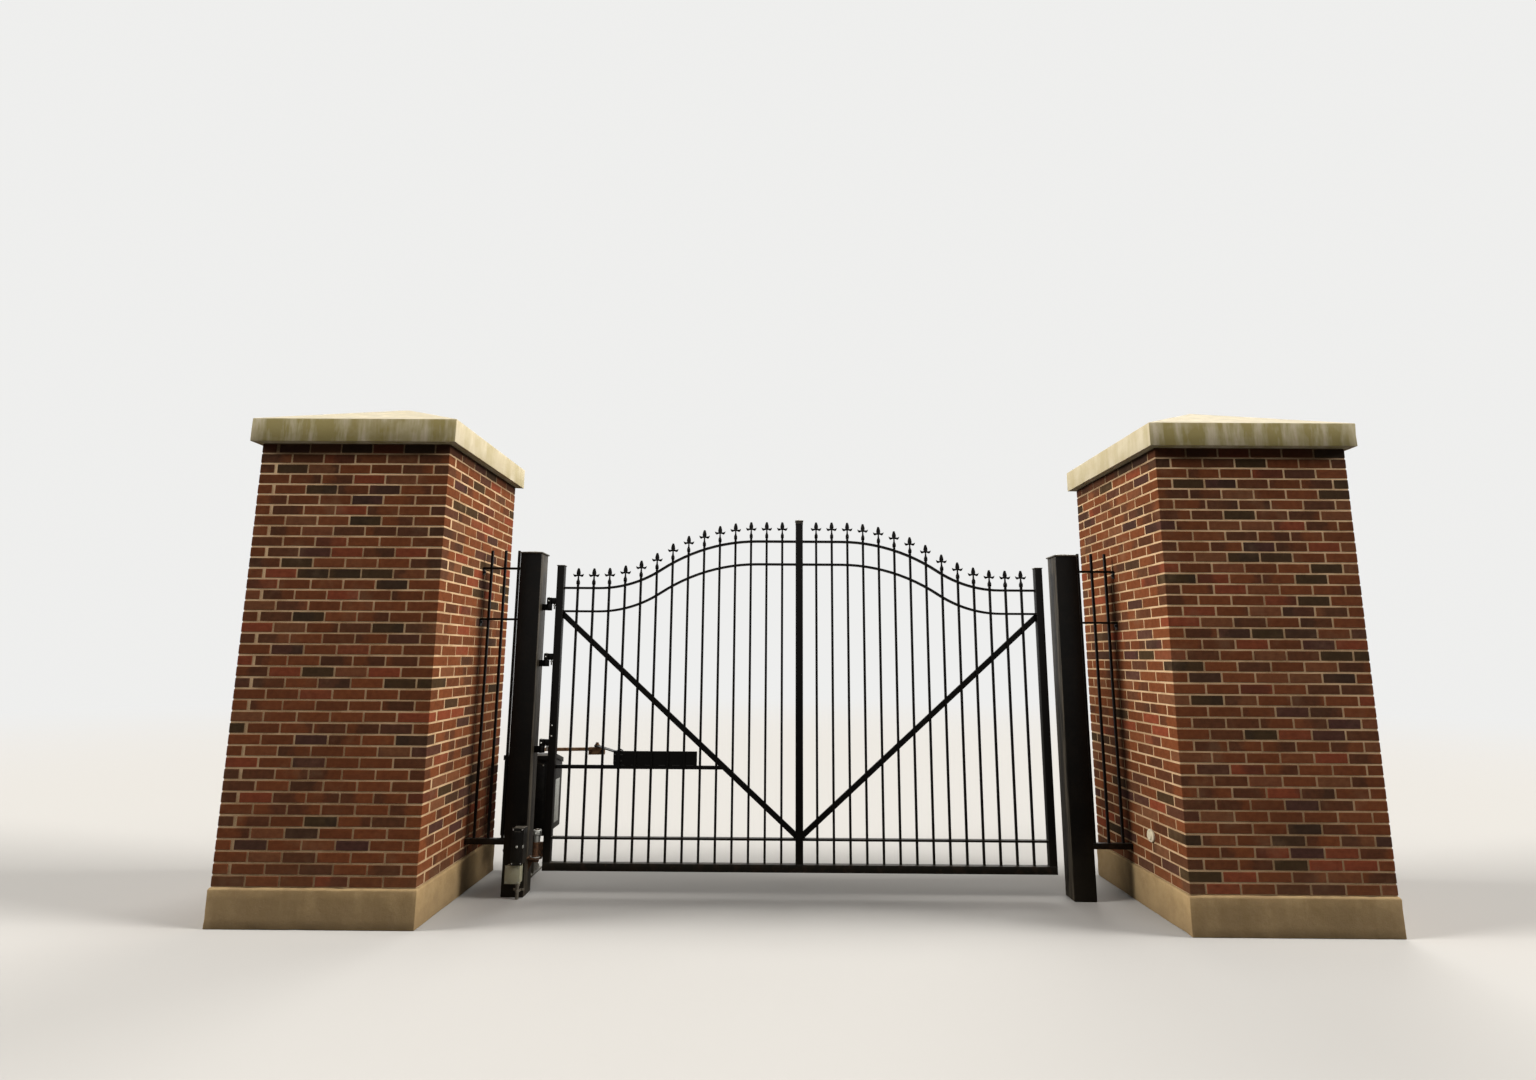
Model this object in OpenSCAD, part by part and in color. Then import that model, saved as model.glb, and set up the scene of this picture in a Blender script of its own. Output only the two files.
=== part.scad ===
// Driveway gate between two brick piers: one arched iron leaf on a steel post,
// a latch post, two narrow infill panels and an arm operator on a pedestal.
// Millimetres, +Z up, floor at Z = 0. X = 0 is midway between the piers, and Y = 0 is
// midway through the whole depth, from the front of the caps to the back of the operator.
// The street is towards -Y, and the leaf swings inwards, towards +Y.

/* [Piers] */
// Clear width between the brick faces of the two piers
pier_gap = 4540; // [4340:20:5000]
// Side of the square brick shaft
pier_side = 1219; // [1100:1:1400]
// Height of one brick course with its mortar bed
course_h = 67.7; // [60:0.1:75]
// Number of brick courses in a shaft
courses = 40; // [36:1:44]
// Height of the concrete plinth under the brick
plinth_h = 230; // [150:5:300]
// How far the plinth stands out from the brick
plinth_lip = 10; // [0:1:30]
// How far the stone cap stands out from the brick
cap_over = 50; // [30:1:90]
// Height of the upright edge of the stone cap
cap_edge_h = 152; // [100:1:200]
// Rise of the hipped top of the stone cap
cap_rise = 285; // [100:5:350]
// Side of the drip groove under the overhang of the cap
drip_w = 12; // [6:1:16]

/* [Posts] */
// Clear width of the drive between the two steel posts
drive_clear = 3660; // [3460:10:3700]
// Distance of the gate line behind the middle of the piers
gate_set = 70; // [0:5:120]
// Side of the square steel posts
post_side = 152; // [120:1:180]
// Height of the posts without their caps
post_h = 2312; // [2280:1:2500]
// How far a post cap stands out from its post
post_cap_over = 8; // [4:1:15]
// Thickness of the edge of a post cap
post_cap_t = 9; // [5:1:15]
// Rise of the hipped top of a post cap
post_cap_rise = 16; // [8:1:30]

/* [Leaf frame] */
// Gap between the hinge post and the leaf
hinge_gap = 100; // [90:1:120]
// Gap between the leaf and the latch post
latch_gap = 80; // [40:1:110]
// Height of the leaf above the floor
leaf_clear = 155; // [140:1:170]
// Side of the square tubes of the stiles and the bottom rail
stile = 51; // [44:1:55]
// Height of the top of the two outer stiles
stile_top = 2229; // [2180:1:2300]
// Height of the top of the centre stile
crown_top = 2570; // [2540:1:2640]
// Thickness of the cap plates on the stiles
stile_cap_t = 6; // [4:1:10]
// How far a stile cap stands out from its stile
stile_cap_over = 3; // [1:1:6]
// Height of the flared cap on the centre stile, up to its edge
crown_cap_h = 24; // [16:1:36]

/* [Rails] */
// Depth of the punched rails, front to back
rail_d = 38; // [30:1:44]
// Visible height of the punched rails
rail_h = 14; // [10:1:18]
// Height of the middle of the lower rail
low_rail_z = 365; // [330:1:400]
// Height of the middle of the outer arched rail at the stiles
arch_end_z = 2072; // [2020:1:2110]
// Rise of the arched rails from the stiles to the crown
arch_rise = 346; // [250:1:380]
// Distance from the outer arched rail down to the inner one
arch_drop = 167; // [120:1:200]
// Level length of an arched rail at an outer stile
end_flat = 275; // [200:1:350]
// Level length of an arched rail beside the centre stile
crown_flat = 300; // [200:1:400]
// Share of the lower curve in the two radii of the arch
low_curve_share = 0.39; // [0.3:0.01:0.6]

/* [Pickets] */
// Side of the square pickets
picket = 16; // [12:1:18]
// Distance from picket to picket
picket_pitch = 113; // [100:1:130]
// Least gap between a stile and its nearest picket
picket_margin = 70; // [50:1:80]
// Clearance round a picket in the square hole of a rail
picket_fit = 0.2; // [0.1:0.1:0.5]
// Height of the top of a picket above the middle of the outer rail
picket_over = 44; // [36:1:50]

/* [Finials] */
// Height of a cast finial
finial_h = 130; // [110:1:150]
// Width of a finial over the tips of its two side leaves
finial_w = 78; // [60:1:84]
// Thickness of the neck, the side leaves and the blade
finial_t = 9; // [7:1:12]
// Greatest width of the blade
blade_w = 30; // [24:1:36]
// Height of the neck above the foot of a finial
neck_z = 50; // [44:1:56]
// Height of a side leaf from its lowest point to its tip
leaf_h = 24; // [18:1:30]
// Depth of the socket that takes the top of the picket
socket_d = 18; // [12:1:20]
// Wall of the socket round the picket
socket_wall = 3; // [2.5:0.5:5]

/* [Bracing] */
// Height of the two diagonal braces across their length
brace_h = 38; // [30:1:44]
// Height of the operator rail behind the pickets
arm_rail_h = 25; // [20:1:30]
// Height of the middle of the operator rail
arm_rail_z = 830; // [815:1:840]
// Height of the backing plate that takes the operator's link
arm_plate_h = 96; // [88:1:110]
// Length of the backing plate
arm_plate_w = 580; // [500:5:600]
// Distance from the hinge axis to the backing plate
arm_plate_x = 500; // [470:5:510]
// Thickness of the backing plate
arm_plate_t = 6; // [4:1:8]

/* [Infill panels] */
// Distance from a post to the first picket of its panel
infill_first = 36; // [24:1:45]
// Distance from picket to picket in the panels
infill_pitch = 97; // [80:1:110]
// How far the panel pickets stand above the posts
infill_over = 28; // [0:1:60]
// Distance from the top of the posts down to the upper panel rail
infill_high_drop = 102; // [70:1:150]
// Distance from the top of the posts down to the lower panel rail
infill_low_drop = 467; // [400:1:600]
// Depth of the panel rails, front to back
infill_rail_d = 32; // [26:1:40]
// Height of the middle of the bottom tube of a panel
infill_tube_z = 338; // [320:1:380]
// Side of the bottom tube of a panel
infill_tube = 38; // [30:1:44]
// Length of the bent tab that fastens a panel rail to the brick
tab_h = 40; // [30:1:60]

/* [Hinges] */
// Radius of the hinge pins
pin_r = 9; // [7:0.5:11]
// Radius of the hinge knuckles
knuckle_r = 20; // [17:0.5:24]
// Height of one hinge knuckle
knuckle_h = 45; // [30:1:60]
// Thickness of the tabs that carry the knuckles
knuckle_tab_t = 12; // [8:1:16]
// Height of the top hinge
top_hinge_z = 1955; // [1850:5:2050]
// Height of the second hinge
upper_hinge_z = 1560; // [1450:5:1650]
// Height of the third hinge
middle_hinge_z = 970; // [950:5:1300]
// Running clearance round pins and shafts
run_fit = 0.05; // [0.02:0.01:0.1]
// Gap between faces that turn on each other
face_gap = 0.4; // [0.2:0.1:1]
// Height of the shelf of the lowest hinge
shelf_z = 228; // [220:1:260]
// Thickness of that shelf
shelf_t = 12; // [8:1:20]
// Radius of the rounded shelf end
shelf_r = 40; // [34:1:42]
// Radius of the pin of the lowest hinge
foot_pin_r = 14; // [10:1:16]
// Outer radius of the barrel of the lowest hinge
foot_barrel_r = 25; // [22:1:30]
// Height of the barrel of the lowest hinge
foot_barrel_h = 96; // [80:2:140]
// Height of the sleeve on top of that barrel, with the ring round its head
foot_collar_h = 80; // [56:2:100]
// Height of that ring
foot_ring_h = 34; // [16:1:40]

/* [Operator] */
// Distance of the crank shaft to the left of the hinge axis
shaft_dx = 260; // [230:5:290]
// Distance of the crank shaft behind the hinge axis
shaft_dy = 420; // [380:5:440]
// Distance of the link pin on the leaf from the hinge axis, along the leaf
link_pin_x = 530; // [520:5:560]
// Distance of the link pin behind the gate line
link_pin_y = 76; // [70:1:90]
// Height of the operator pedestal
pedestal_h = 300; // [200:10:400]
// Width of the operator cabinet
cabinet_w = 325; // [320:1:345]
// Depth of the operator cabinet
cabinet_d = 380; // [360:5:400]
// Distance of the right face of the cabinet to the left of the hinge axis
cabinet_dx = 40; // [40:1:60]
// Distance from the front of the cabinet back to the crank shaft
cabinet_front = 110; // [90:1:114]
// Height of the top of the cabinet lid
cabinet_top = 864; // [840:1:866]
// Thickness of the cabinet lid
lid_t = 34; // [20:1:50]
// How far the lid stands out from the cabinet
lid_over = 5; // [2:1:5]
// Depth of the level part of the lid at the front
lid_flat = 155; // [150:1:190]
// Fall of the lid from its level part to the back
lid_fall = 60; // [30:1:80]
// Radius of the crank shaft
shaft_r = 19; // [14:1:24]
// Thickness of the crank
crank_t = 26; // [20:1:28]
// Thickness of the link
link_t = 12; // [10:1:14]
// Width of the crank and the link
arm_w = 44; // [34:1:50]
// Length of the block at the end of the crank
elbow_block_w = 120; // [90:2:140]
// Height of that block, down from the top of the crank
elbow_block_h = 52; // [40:1:56]
// Radius of the pins at the ends of the link
link_pin_r = 10; // [7:1:12]
// Gap between the crank, the link and the ears of the leaf bracket
arm_gap = 5; // [5:1:6]

/* [Small fittings] */
// Width of the control box on the front of the hinge post
control_w = 80; // [70:1:110]
// How far the control box stands past the inner face of the hinge post
control_over = 8; // [0:1:12]
// Height of the control box
control_h = 234; // [180:1:260]
// Depth of the control box
control_d = 84; // [60:1:100]
// Height of the bottom of the control box
control_z = 224; // [220:1:260]
// Distance of the junction box from the inner face of the hinge post
junction_set = 9; // [4:1:20]
// Width of the junction box under the control box
junction_w = 102; // [90:1:126]
// Height of the junction box
junction_h = 114; // [90:1:120]
// Depth of the junction box
junction_d = 60; // [40:1:80]
// How far the covers of the two boxes stand out from their bodies
cover_over = 3; // [1:1:5]
// Thickness of the covers of the two boxes
cover_t = 12; // [8:1:20]
// Outer radius of the conduit below the junction box
conduit_r = 11; // [8:0.5:16]
// Radius of the beam reflector on the latch pier
reflector_r = 40; // [30:1:50]
// Distance of the reflector in front of the gate line
reflector_y = 280; // [200:5:400]
// Height of the middle of the beam reflector
reflector_z = 470; // [400:5:600]

/* [Hidden] */
$fn = 48;
// Small reach that makes joined shapes overlap inside one solid
bite = 1;

// Piers, set so that the whole depth lies evenly about Y = 0
pier_x = (pier_gap + pier_side) / 2;
cap_reach = pier_side / 2 + cap_over;
cabinet_reach = gate_set + shaft_dy - cabinet_front + cabinet_d + lid_over;
pier_y = min(0, cap_reach - cabinet_reach) / 2;
shaft_h = courses * course_h;
shaft_top = plinth_h + shaft_h;

// Posts and hinge axis
gate_y = pier_y + gate_set;
post_x = (drive_clear + post_side) / 2;
post_front = gate_y - post_side / 2;
axis_x = -drive_clear / 2 + hinge_gap / 2;

// Leaf
leaf_left = -drive_clear / 2 + hinge_gap;
leaf_right = drive_clear / 2 - latch_gap;
leaf_mid = (leaf_left + leaf_right) / 2;
half_span = (leaf_right - leaf_left - stile) / 2;
rail_top = leaf_clear + stile;

// Arch of the rails, as two tangent arcs between level ends
arch_run = half_span - end_flat - crown_flat;
arch_angle = 2 * atan(arch_rise / arch_run);
radius_sum = arch_run / sin(arch_angle);
low_radius = low_curve_share * radius_sum;
high_radius = radius_sum - low_radius;
arch_steps = 12;

// Rise of the arch at a distance from the middle of the leaf
function arch_lift(d) =
    let (u = half_span - end_flat - d)
    u <= 0 ? 0 :
    u >= arch_run ? arch_rise :
    u <= low_radius * sin(arch_angle) ? low_radius - sqrt(low_radius ^ 2 - u ^ 2) :
    arch_rise - high_radius + sqrt(high_radius ^ 2 - (arch_run - u) ^ 2);

// Pickets of one half of the leaf, as distances from the middle
picket_steps = floor((half_span - stile - picket - 2 * picket_margin) / picket_pitch);
picket_first = (half_span - picket_steps * picket_pitch) / 2;
picket_places = [for (i = [0:picket_steps]) picket_first + i * picket_pitch];
function picket_top(d) = arch_end_z + arch_lift(d) + picket_over;

// Back bracing lies between the pickets and the back of the frame
back_y = gate_y + picket / 2;
back_d = (stile - picket) / 2;
brace_slope = atan((arch_end_z - arch_drop - low_rail_z) / half_span);

// Infill panels
infill_w = (pier_gap - drive_clear) / 2 - post_side;
infill_steps = floor((infill_w - infill_first - picket) / infill_pitch);
infill_top = post_h + infill_over;

// Operator: crank, link and leaf stay a parallelogram
shaft_x = axis_x - shaft_dx;
shaft_y = gate_y + shaft_dy;
elbow_x = shaft_x + link_pin_x;
elbow_y = shaft_y + link_pin_y;
leaf_pin_x = axis_x + link_pin_x;
leaf_pin_y = gate_y + link_pin_y;
boss_h = 8;
eye_step = 2;
hub_z = cabinet_top + boss_h + face_gap;
crank_z = hub_z + 6;
link_z = crank_z + crank_t + arm_gap;
hub_r = arm_w / 2 + 14;
hub_h = crank_t + 16;
link_fit = 0.3;
cabinet_x = axis_x - cabinet_dx - cabinet_w / 2;
cabinet_y = shaft_y - cabinet_front + cabinet_d / 2;

// Box from its lowest corner to its highest corner
module box(low, high) {
    translate(low) cube(high - low);
}

// Square slab with a hipped top, standing on z = 0
module hipped_slab(side, edge_h, rise) {
    s = side / 2;
    polyhedron(
        points = [
            [-s, -s, 0], [s, -s, 0], [s, s, 0], [-s, s, 0],
            [-s, -s, edge_h], [s, -s, edge_h], [s, s, edge_h], [-s, s, edge_h],
            [0, 0, edge_h + rise]
        ],
        faces = [
            [0, 1, 2, 3], [0, 4, 5, 1], [1, 5, 6, 2], [2, 6, 7, 3], [3, 7, 4, 0],
            [4, 8, 5], [5, 8, 6], [6, 8, 7], [7, 8, 4]
        ]
    );
}

// Points of a curve from a to c that b pulls to its side, without the end c
function curve(a, b, c, steps) = [for (i = [0:steps - 1]) let (t = i / steps)
    (1 - t) ^ 2 * a + 2 * t * (1 - t) * b + t ^ 2 * c];

// Upright shape from half of its front outline, with x outwards and y up
module extruded_both_sides(edge, reach) {
    mirrored = [for (i = [len(edge) - 1:-1:0]) if (edge[i][0] > 0) [-edge[i][0], edge[i][1]]];
    translate([0, reach, 0]) rotate([90, 0, 0])
        linear_extrude(2 * reach) polygon(concat(edge, mirrored));
}

// Shape with the same outline from the front and from the side, on a square foot
module four_sided(edge, reach) {
    intersection() {
        extruded_both_sides(edge, reach);
        rotate([0, 0, 90]) extruded_both_sides(edge, reach);
    }
}

// Square tube or bar that stands on z = 0
module upright(side, height) {
    translate([-side / 2, -side / 2, 0]) cube([side, side, height]);
}

// The same shape on the hinge side (-1) or the latch side (1) of the gate
module at_side(side) {
    scale_x = side > 0 ? 0 : 1;
    mirror([scale_x, 0, 0]) children();
}

// The same shape on the hinge half (-1) or the latch half (1) of the leaf
module at_half(side) {
    translate([leaf_mid, gate_y, 0]) mirror([side > 0 ? 0 : 1, 0, 0]) children();
}

// Cast foot whose top edge slopes up to the face of the brick
module pier_plinth(side) {
    half = pier_side / 2 + plinth_lip;
    color("darkgray") translate([side * pier_x, pier_y, 0]) four_sided([
        [half, 0], [half, plinth_h - plinth_lip], [pier_side / 2, plinth_h]
    ], half);
}

module pier_shaft(side) {
    color("sienna") translate([side * pier_x, pier_y, plinth_h])
        upright(pier_side, shaft_h);
}

module pier_cap(side) {
    width = pier_side + 2 * cap_over;
    groove = width - cap_over;
    color("antiquewhite") translate([side * pier_x, pier_y, shaft_top]) difference() {
        hipped_slab(width, cap_edge_h, cap_rise);
        difference() {
            translate([0, 0, -bite]) upright(groove + drip_w, drip_w / 2 + bite);
            translate([0, 0, -2 * bite]) upright(groove - drip_w, drip_w + 3 * bite);
        }
    }
}

module gate_post(side) {
    color("black") translate([side * post_x, gate_y, 0]) upright(post_side, post_h);
}

module gate_post_cap(side) {
    color("dimgray") translate([side * post_x, gate_y, post_h])
        hipped_slab(post_side + 2 * post_cap_over, post_cap_t, post_cap_rise);
}

// Middle of each picket of an infill panel, for the latch side
infill_places = [for (i = [0:infill_steps])
    drive_clear / 2 + post_side + infill_first + i * infill_pitch];

module infill_pickets(side) {
    color("black") at_side(side) for (x = infill_places)
        box([x - picket / 2, gate_y - picket / 2, infill_tube_z + infill_tube / 2],
            [x + picket / 2, gate_y + picket / 2, infill_top]);
}

// Flat rail that lies between post and brick, with its end bent down on the brick
module infill_rail(z) {
    post_face = drive_clear / 2 + post_side;
    low = z - rail_h / 2;
    difference() {
        union() {
            box([post_face, gate_y - infill_rail_d / 2, low],
                [pier_gap / 2, gate_y + infill_rail_d / 2, z + rail_h / 2]);
            box([pier_gap / 2 - rail_h / 2, gate_y - infill_rail_d / 2, low - tab_h],
                [pier_gap / 2, gate_y + infill_rail_d / 2, low + bite]);
        }
        for (x = infill_places)
            translate([x, gate_y, low - bite]) upright(picket + 2 * picket_fit, rail_h + 2 * bite);
    }
}

module infill_rails(side) {
    color("black") at_side(side) {
        infill_rail(post_h - infill_high_drop);
        infill_rail(post_h - infill_low_drop);
    }
}

// Bottom tube with the short angle that holds it on the post
module infill_bottom(side) {
    post_face = drive_clear / 2 + post_side;
    low = infill_tube_z - infill_tube / 2;
    color("black") at_side(side) union() {
        box([post_face, gate_y - infill_tube / 2, low],
            [pier_gap / 2, gate_y + infill_tube / 2, low + infill_tube]);
        box([post_face, gate_y - infill_tube / 2, low - 2 * infill_tube],
            [post_face + picket, gate_y + infill_tube / 2, low + bite]);
    }
}

// Vertical cylinder on the hinge axis
module on_axis(z, h, r) {
    translate([axis_x, gate_y, z]) cylinder(h = h, r = r);
}

module hinge_brackets() {
    post_face = -drive_clear / 2;
    color("black") for (z = [middle_hinge_z, upper_hinge_z, top_hinge_z]) union() {
        on_axis(z - knuckle_h, knuckle_h, knuckle_r);
        on_axis(z - bite, knuckle_h - pin_r / 2 + bite, pin_r);
        box([post_face, gate_y - knuckle_tab_t / 2, z - knuckle_h],
            [axis_x, gate_y + knuckle_tab_t / 2, z]);
    }
}

module hinge_knuckles() {
    color("black") for (z = [middle_hinge_z, upper_hinge_z, top_hinge_z]) difference() {
        union() {
            on_axis(z + face_gap, knuckle_h, knuckle_r);
            box([axis_x, gate_y - knuckle_tab_t / 2, z + face_gap],
                [leaf_left, gate_y + knuckle_tab_t / 2, z + face_gap + knuckle_h]);
        }
        on_axis(z, 2 * knuckle_h, pin_r + run_fit);
    }
}

// Shelf, gusset and pin under the lowest hinge
module foot_bracket() {
    post_face = -drive_clear / 2;
    shelf_top = shelf_z + shelf_t;
    pin_h = foot_barrel_h + foot_collar_h + 4;
    color("saddlebrown") union() {
        on_axis(shelf_z, shelf_t, shelf_r);
        box([post_face, gate_y - shelf_r, shelf_z], [axis_x, gate_y + shelf_r, shelf_top]);
        translate([post_face, gate_y + knuckle_tab_t / 2, shelf_z + bite]) rotate([90, 0, 0])
            linear_extrude(knuckle_tab_t) polygon([[0, 0], [shelf_r, 0], [0, -2 * shelf_r]]);
        on_axis(shelf_top - bite, pin_h + bite, foot_pin_r);
        translate([axis_x, gate_y, shelf_z - 20]) cylinder(h = 20 + bite, r = 22, $fn = 6);
    }
}

module foot_barrel() {
    z = shelf_z + shelf_t + face_gap;
    color("saddlebrown") difference() {
        union() {
            on_axis(z, foot_barrel_h - 2 * face_gap, foot_barrel_r);
            on_axis(z, shelf_t, foot_barrel_r + 6);
            box([axis_x, gate_y - knuckle_tab_t, z + bite],
                [leaf_left, gate_y + knuckle_tab_t, z + foot_barrel_h - 2 * face_gap - bite]);
        }
        on_axis(z - bite, foot_barrel_h + 2 * bite, foot_pin_r + run_fit);
    }
}

// Sleeve that widens upwards to the ring round its head
module foot_collar() {
    z = shelf_z + shelf_t + foot_barrel_h;
    ring_z = foot_collar_h - foot_ring_h;
    bore = foot_pin_r + run_fit;
    color("silver") translate([axis_x, gate_y, z]) rotate_extrude() polygon([
        [bore, 0], [foot_barrel_r - 4, 0], [foot_barrel_r - 1, ring_z - 4],
        [foot_barrel_r + 3, ring_z], [foot_barrel_r + 5, ring_z + 4],
        [foot_barrel_r + 5, foot_collar_h - 4], [foot_barrel_r + 1, foot_collar_h],
        [bore, foot_collar_h]
    ]);
}

module operator_pedestal() {
    side = cabinet_w / 3;
    color("dimgray") translate([cabinet_x, cabinet_y, 0]) union() {
        translate([-cabinet_w * 0.2, -cabinet_d * 0.35, 0])
            cube([cabinet_w * 0.4, cabinet_d * 0.7, shelf_t]);
        translate([0, 0, shelf_t - bite]) upright(side, pedestal_h - shelf_t + bite);
    }
}

// Outline of the cabinet's cover from the side, level at the front and sloping at
// the back, drawn out by its overhang. Its lower edge is the top of the cabinet.
lid_slope = lid_fall / (cabinet_d - lid_flat);
module from_the_side(edge, w) {
    translate([cabinet_x - w / 2, shaft_y - cabinet_front, 0]) rotate([90, 0, 90])
        linear_extrude(w) polygon(edge);
}

module operator_cabinet() {
    top = cabinet_top - lid_t;
    color("darkslategray") from_the_side([
        [0, pedestal_h], [cabinet_d, pedestal_h], [cabinet_d, top - lid_fall],
        [lid_flat, top], [0, top]
    ], cabinet_w);
}

module operator_lid() {
    low = cabinet_top - lid_t;
    back = cabinet_d + lid_over;
    fall = lid_slope * (back - lid_flat);
    color("darkslategray") difference() {
        union() {
            from_the_side([
                [-lid_over, low], [lid_flat, low], [back, low - fall],
                [back, cabinet_top - fall], [lid_flat, cabinet_top], [-lid_over, cabinet_top]
            ], cabinet_w + 2 * lid_over);
            translate([shaft_x, shaft_y, cabinet_top - bite])
                cylinder(h = boss_h + bite, r = hub_r);
        }
        translate([shaft_x, shaft_y, low - bite])
            cylinder(h = lid_t + boss_h + 2 * bite, r = shaft_r + run_fit);
    }
}

module crank_shaft() {
    low = cabinet_top - lid_t + face_gap;
    color("silver") translate([shaft_x, shaft_y, low])
        cylinder(h = hub_z + hub_h + 4 - low, r = shaft_r);
}

// Rounded eye at the end of the link
module eye(x, y) {
    translate([x, y, link_z]) cylinder(h = link_t, r = arm_w / 2);
}

// Flat bar, narrower and thinner than its eyes, towards a second pin. It starts
// at a distance from the first pin and ends inside the eye of the second.
module bar_between(x0, y0, x1, y1, z, t, start) {
    length = norm([x1 - x0, y1 - y0]) - start - arm_w / 4;
    bar_w = arm_w - 8;
    translate([x0, y0, z + eye_step]) rotate([0, 0, atan2(y1 - y0, x1 - x0)])
        translate([start, -bar_w / 2, 0]) cube([length, bar_w, t - 2 * eye_step]);
}

// Stepped pin of the elbow: boss in the crank, pin through the link, head on top
module elbow_pin() {
    boss_top = link_z - face_gap;
    head_z = link_z + link_t + face_gap;
    head_t = 8;
    translate([elbow_x, elbow_y, 0]) rotate_extrude() polygon([
        [0, crank_z + bite], [arm_w / 2 - 5, crank_z + bite], [arm_w / 2 - 5, boss_top],
        [link_pin_r, boss_top], [link_pin_r, head_z], [link_pin_r + 6, head_z],
        [link_pin_r + 6, head_z + head_t], [0, head_z + head_t]
    ]);
}

// Block under the elbow, square to the crank
module elbow_block() {
    block_d = arm_w + 6;
    translate([elbow_x, elbow_y, crank_z + crank_t - elbow_block_h])
        rotate([0, 0, atan2(link_pin_y, link_pin_x)])
            translate([-elbow_block_w / 2, -block_d / 2, 0])
                cube([elbow_block_w, block_d, elbow_block_h]);
}

module crank_arm() {
    color("peru") union() {
        bar_between(shaft_x, shaft_y, elbow_x, elbow_y, crank_z, crank_t,
            (shaft_r + hub_r) / 2);
        difference() {
            translate([shaft_x, shaft_y, hub_z]) cylinder(h = hub_h, r = hub_r);
            translate([shaft_x, shaft_y, hub_z - bite])
                cylinder(h = hub_h + 2 * bite, r = shaft_r + run_fit);
        }
        elbow_block();
        elbow_pin();
    }
}

module link_arm() {
    color("dimgray") difference() {
        union() {
            bar_between(elbow_x, elbow_y, leaf_pin_x, leaf_pin_y, link_z, link_t, arm_w / 4);
            eye(elbow_x, elbow_y);
            eye(leaf_pin_x, leaf_pin_y);
        }
        translate([elbow_x, elbow_y, link_z - bite])
            cylinder(h = link_t + 2 * bite, r = link_pin_r + run_fit);
        translate([leaf_pin_x, leaf_pin_y, link_z - bite])
            cylinder(h = link_t + 2 * bite, r = link_pin_r + link_fit);
    }
}

// Base plate on the backing plate, with two ears and a pin for the link
module link_bracket() {
    base_y = back_y + arm_plate_t;
    base_t = 8;
    ear_t = 11;
    low_ear = link_z - arm_gap - ear_t;
    high_ear = link_z + link_t + arm_gap;
    plate_z = arm_rail_z + arm_rail_h / 2;
    color("black") union() {
        box([leaf_pin_x - arm_w / 2 - ear_t, base_y, plate_z + base_t],
            [leaf_pin_x + arm_w / 2 + ear_t, base_y + base_t, plate_z + arm_plate_h]);
        for (z = [low_ear, high_ear]) {
            translate([leaf_pin_x, leaf_pin_y, z]) cylinder(h = ear_t, r = arm_w / 2);
            box([leaf_pin_x - arm_w / 2, base_y + bite, z],
                [leaf_pin_x + arm_w / 2, leaf_pin_y, z + ear_t]);
        }
        translate([leaf_pin_x, leaf_pin_y, low_ear])
            cylinder(h = high_ear + ear_t + 6 - low_ear, r = link_pin_r);
    }
}

module arm_plate() {
    z = arm_rail_z + arm_rail_h / 2;
    color("black") box([axis_x + arm_plate_x, back_y, z],
        [axis_x + arm_plate_x + arm_plate_w, back_y + arm_plate_t, z + arm_plate_h]);
}

// Distance of the middle of a brace from the middle of the leaf, at a height
function brace_at(z) = (z - low_rail_z) / tan(brace_slope);

module arm_rail() {
    low = arm_rail_z - arm_rail_h / 2;
    high = arm_rail_z + arm_rail_h / 2;
    edge = brace_h / 2 / sin(brace_slope);
    stile_face = half_span - stile / 2;
    color("black") at_half(-1) translate([0, picket / 2 + back_d, 0]) rotate([90, 0, 0])
        linear_extrude(back_d) polygon([
            [brace_at(low) + edge, low], [stile_face, low],
            [stile_face, high], [brace_at(high) + edge, high]
        ]);
}

// Diagonal bar from the lower rail at the centre stile up to the outer stile
module brace(side) {
    length = half_span / cos(brace_slope);
    low = low_rail_z + rail_h / 2;
    high = arch_end_z - arch_drop - rail_h / 2;
    color("black") at_half(side) translate([0, picket / 2 + back_d, 0]) rotate([90, 0, 0])
        linear_extrude(back_d) intersection() {
            translate([0, low_rail_z]) rotate(brace_slope)
                translate([-brace_h, -brace_h / 2]) square([length + 2 * brace_h, brace_h]);
            translate([stile / 2, low]) square([half_span - stile, high - low]);
        }
}

module outer_stile(side) {
    color("black") translate([leaf_mid + side * half_span, gate_y, rail_top])
        upright(stile, stile_top - rail_top);
}

module centre_stile() {
    color("black") translate([leaf_mid, gate_y, rail_top])
        upright(stile, crown_top - crown_cap_h - rail_top);
}

// Cap of the centre stile, flared outwards to its edge and hipped above it
module flared_cap() {
    half = stile / 2;
    wide = half + stile_cap_over + 1;
    color("dimgray") translate([leaf_mid, gate_y, crown_top - crown_cap_h]) four_sided(concat(
        curve([half, 0], [half + 0.5, crown_cap_h * 0.6], [wide, crown_cap_h - 5], 3),
        [[wide, crown_cap_h - 5], [wide, crown_cap_h], [0, crown_cap_h + 10]]
    ), wide);
}

module stile_cap(x, z, rise) {
    color("dimgray") translate([x, gate_y, z])
        hipped_slab(stile + 2 * stile_cap_over, stile_cap_t, rise);
}

module bottom_rail() {
    color("black") box([leaf_left, gate_y - stile / 2, leaf_clear],
        [leaf_right, gate_y + stile / 2, rail_top]);
}

// Square holes for the pickets of one half, cut from z upwards
module picket_holes(z, h) {
    for (d = picket_places) translate([d, 0, z]) upright(picket + 2 * picket_fit, h);
}

module lower_rails() {
    low = low_rail_z - rail_h / 2;
    color("black") for (side = [-1, 1]) at_half(side) difference() {
        box([stile / 2, -rail_d / 2, low], [half_span - stile / 2, rail_d / 2, low + rail_h]);
        picket_holes(low - bite, rail_h + 2 * bite);
    }
}

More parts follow.
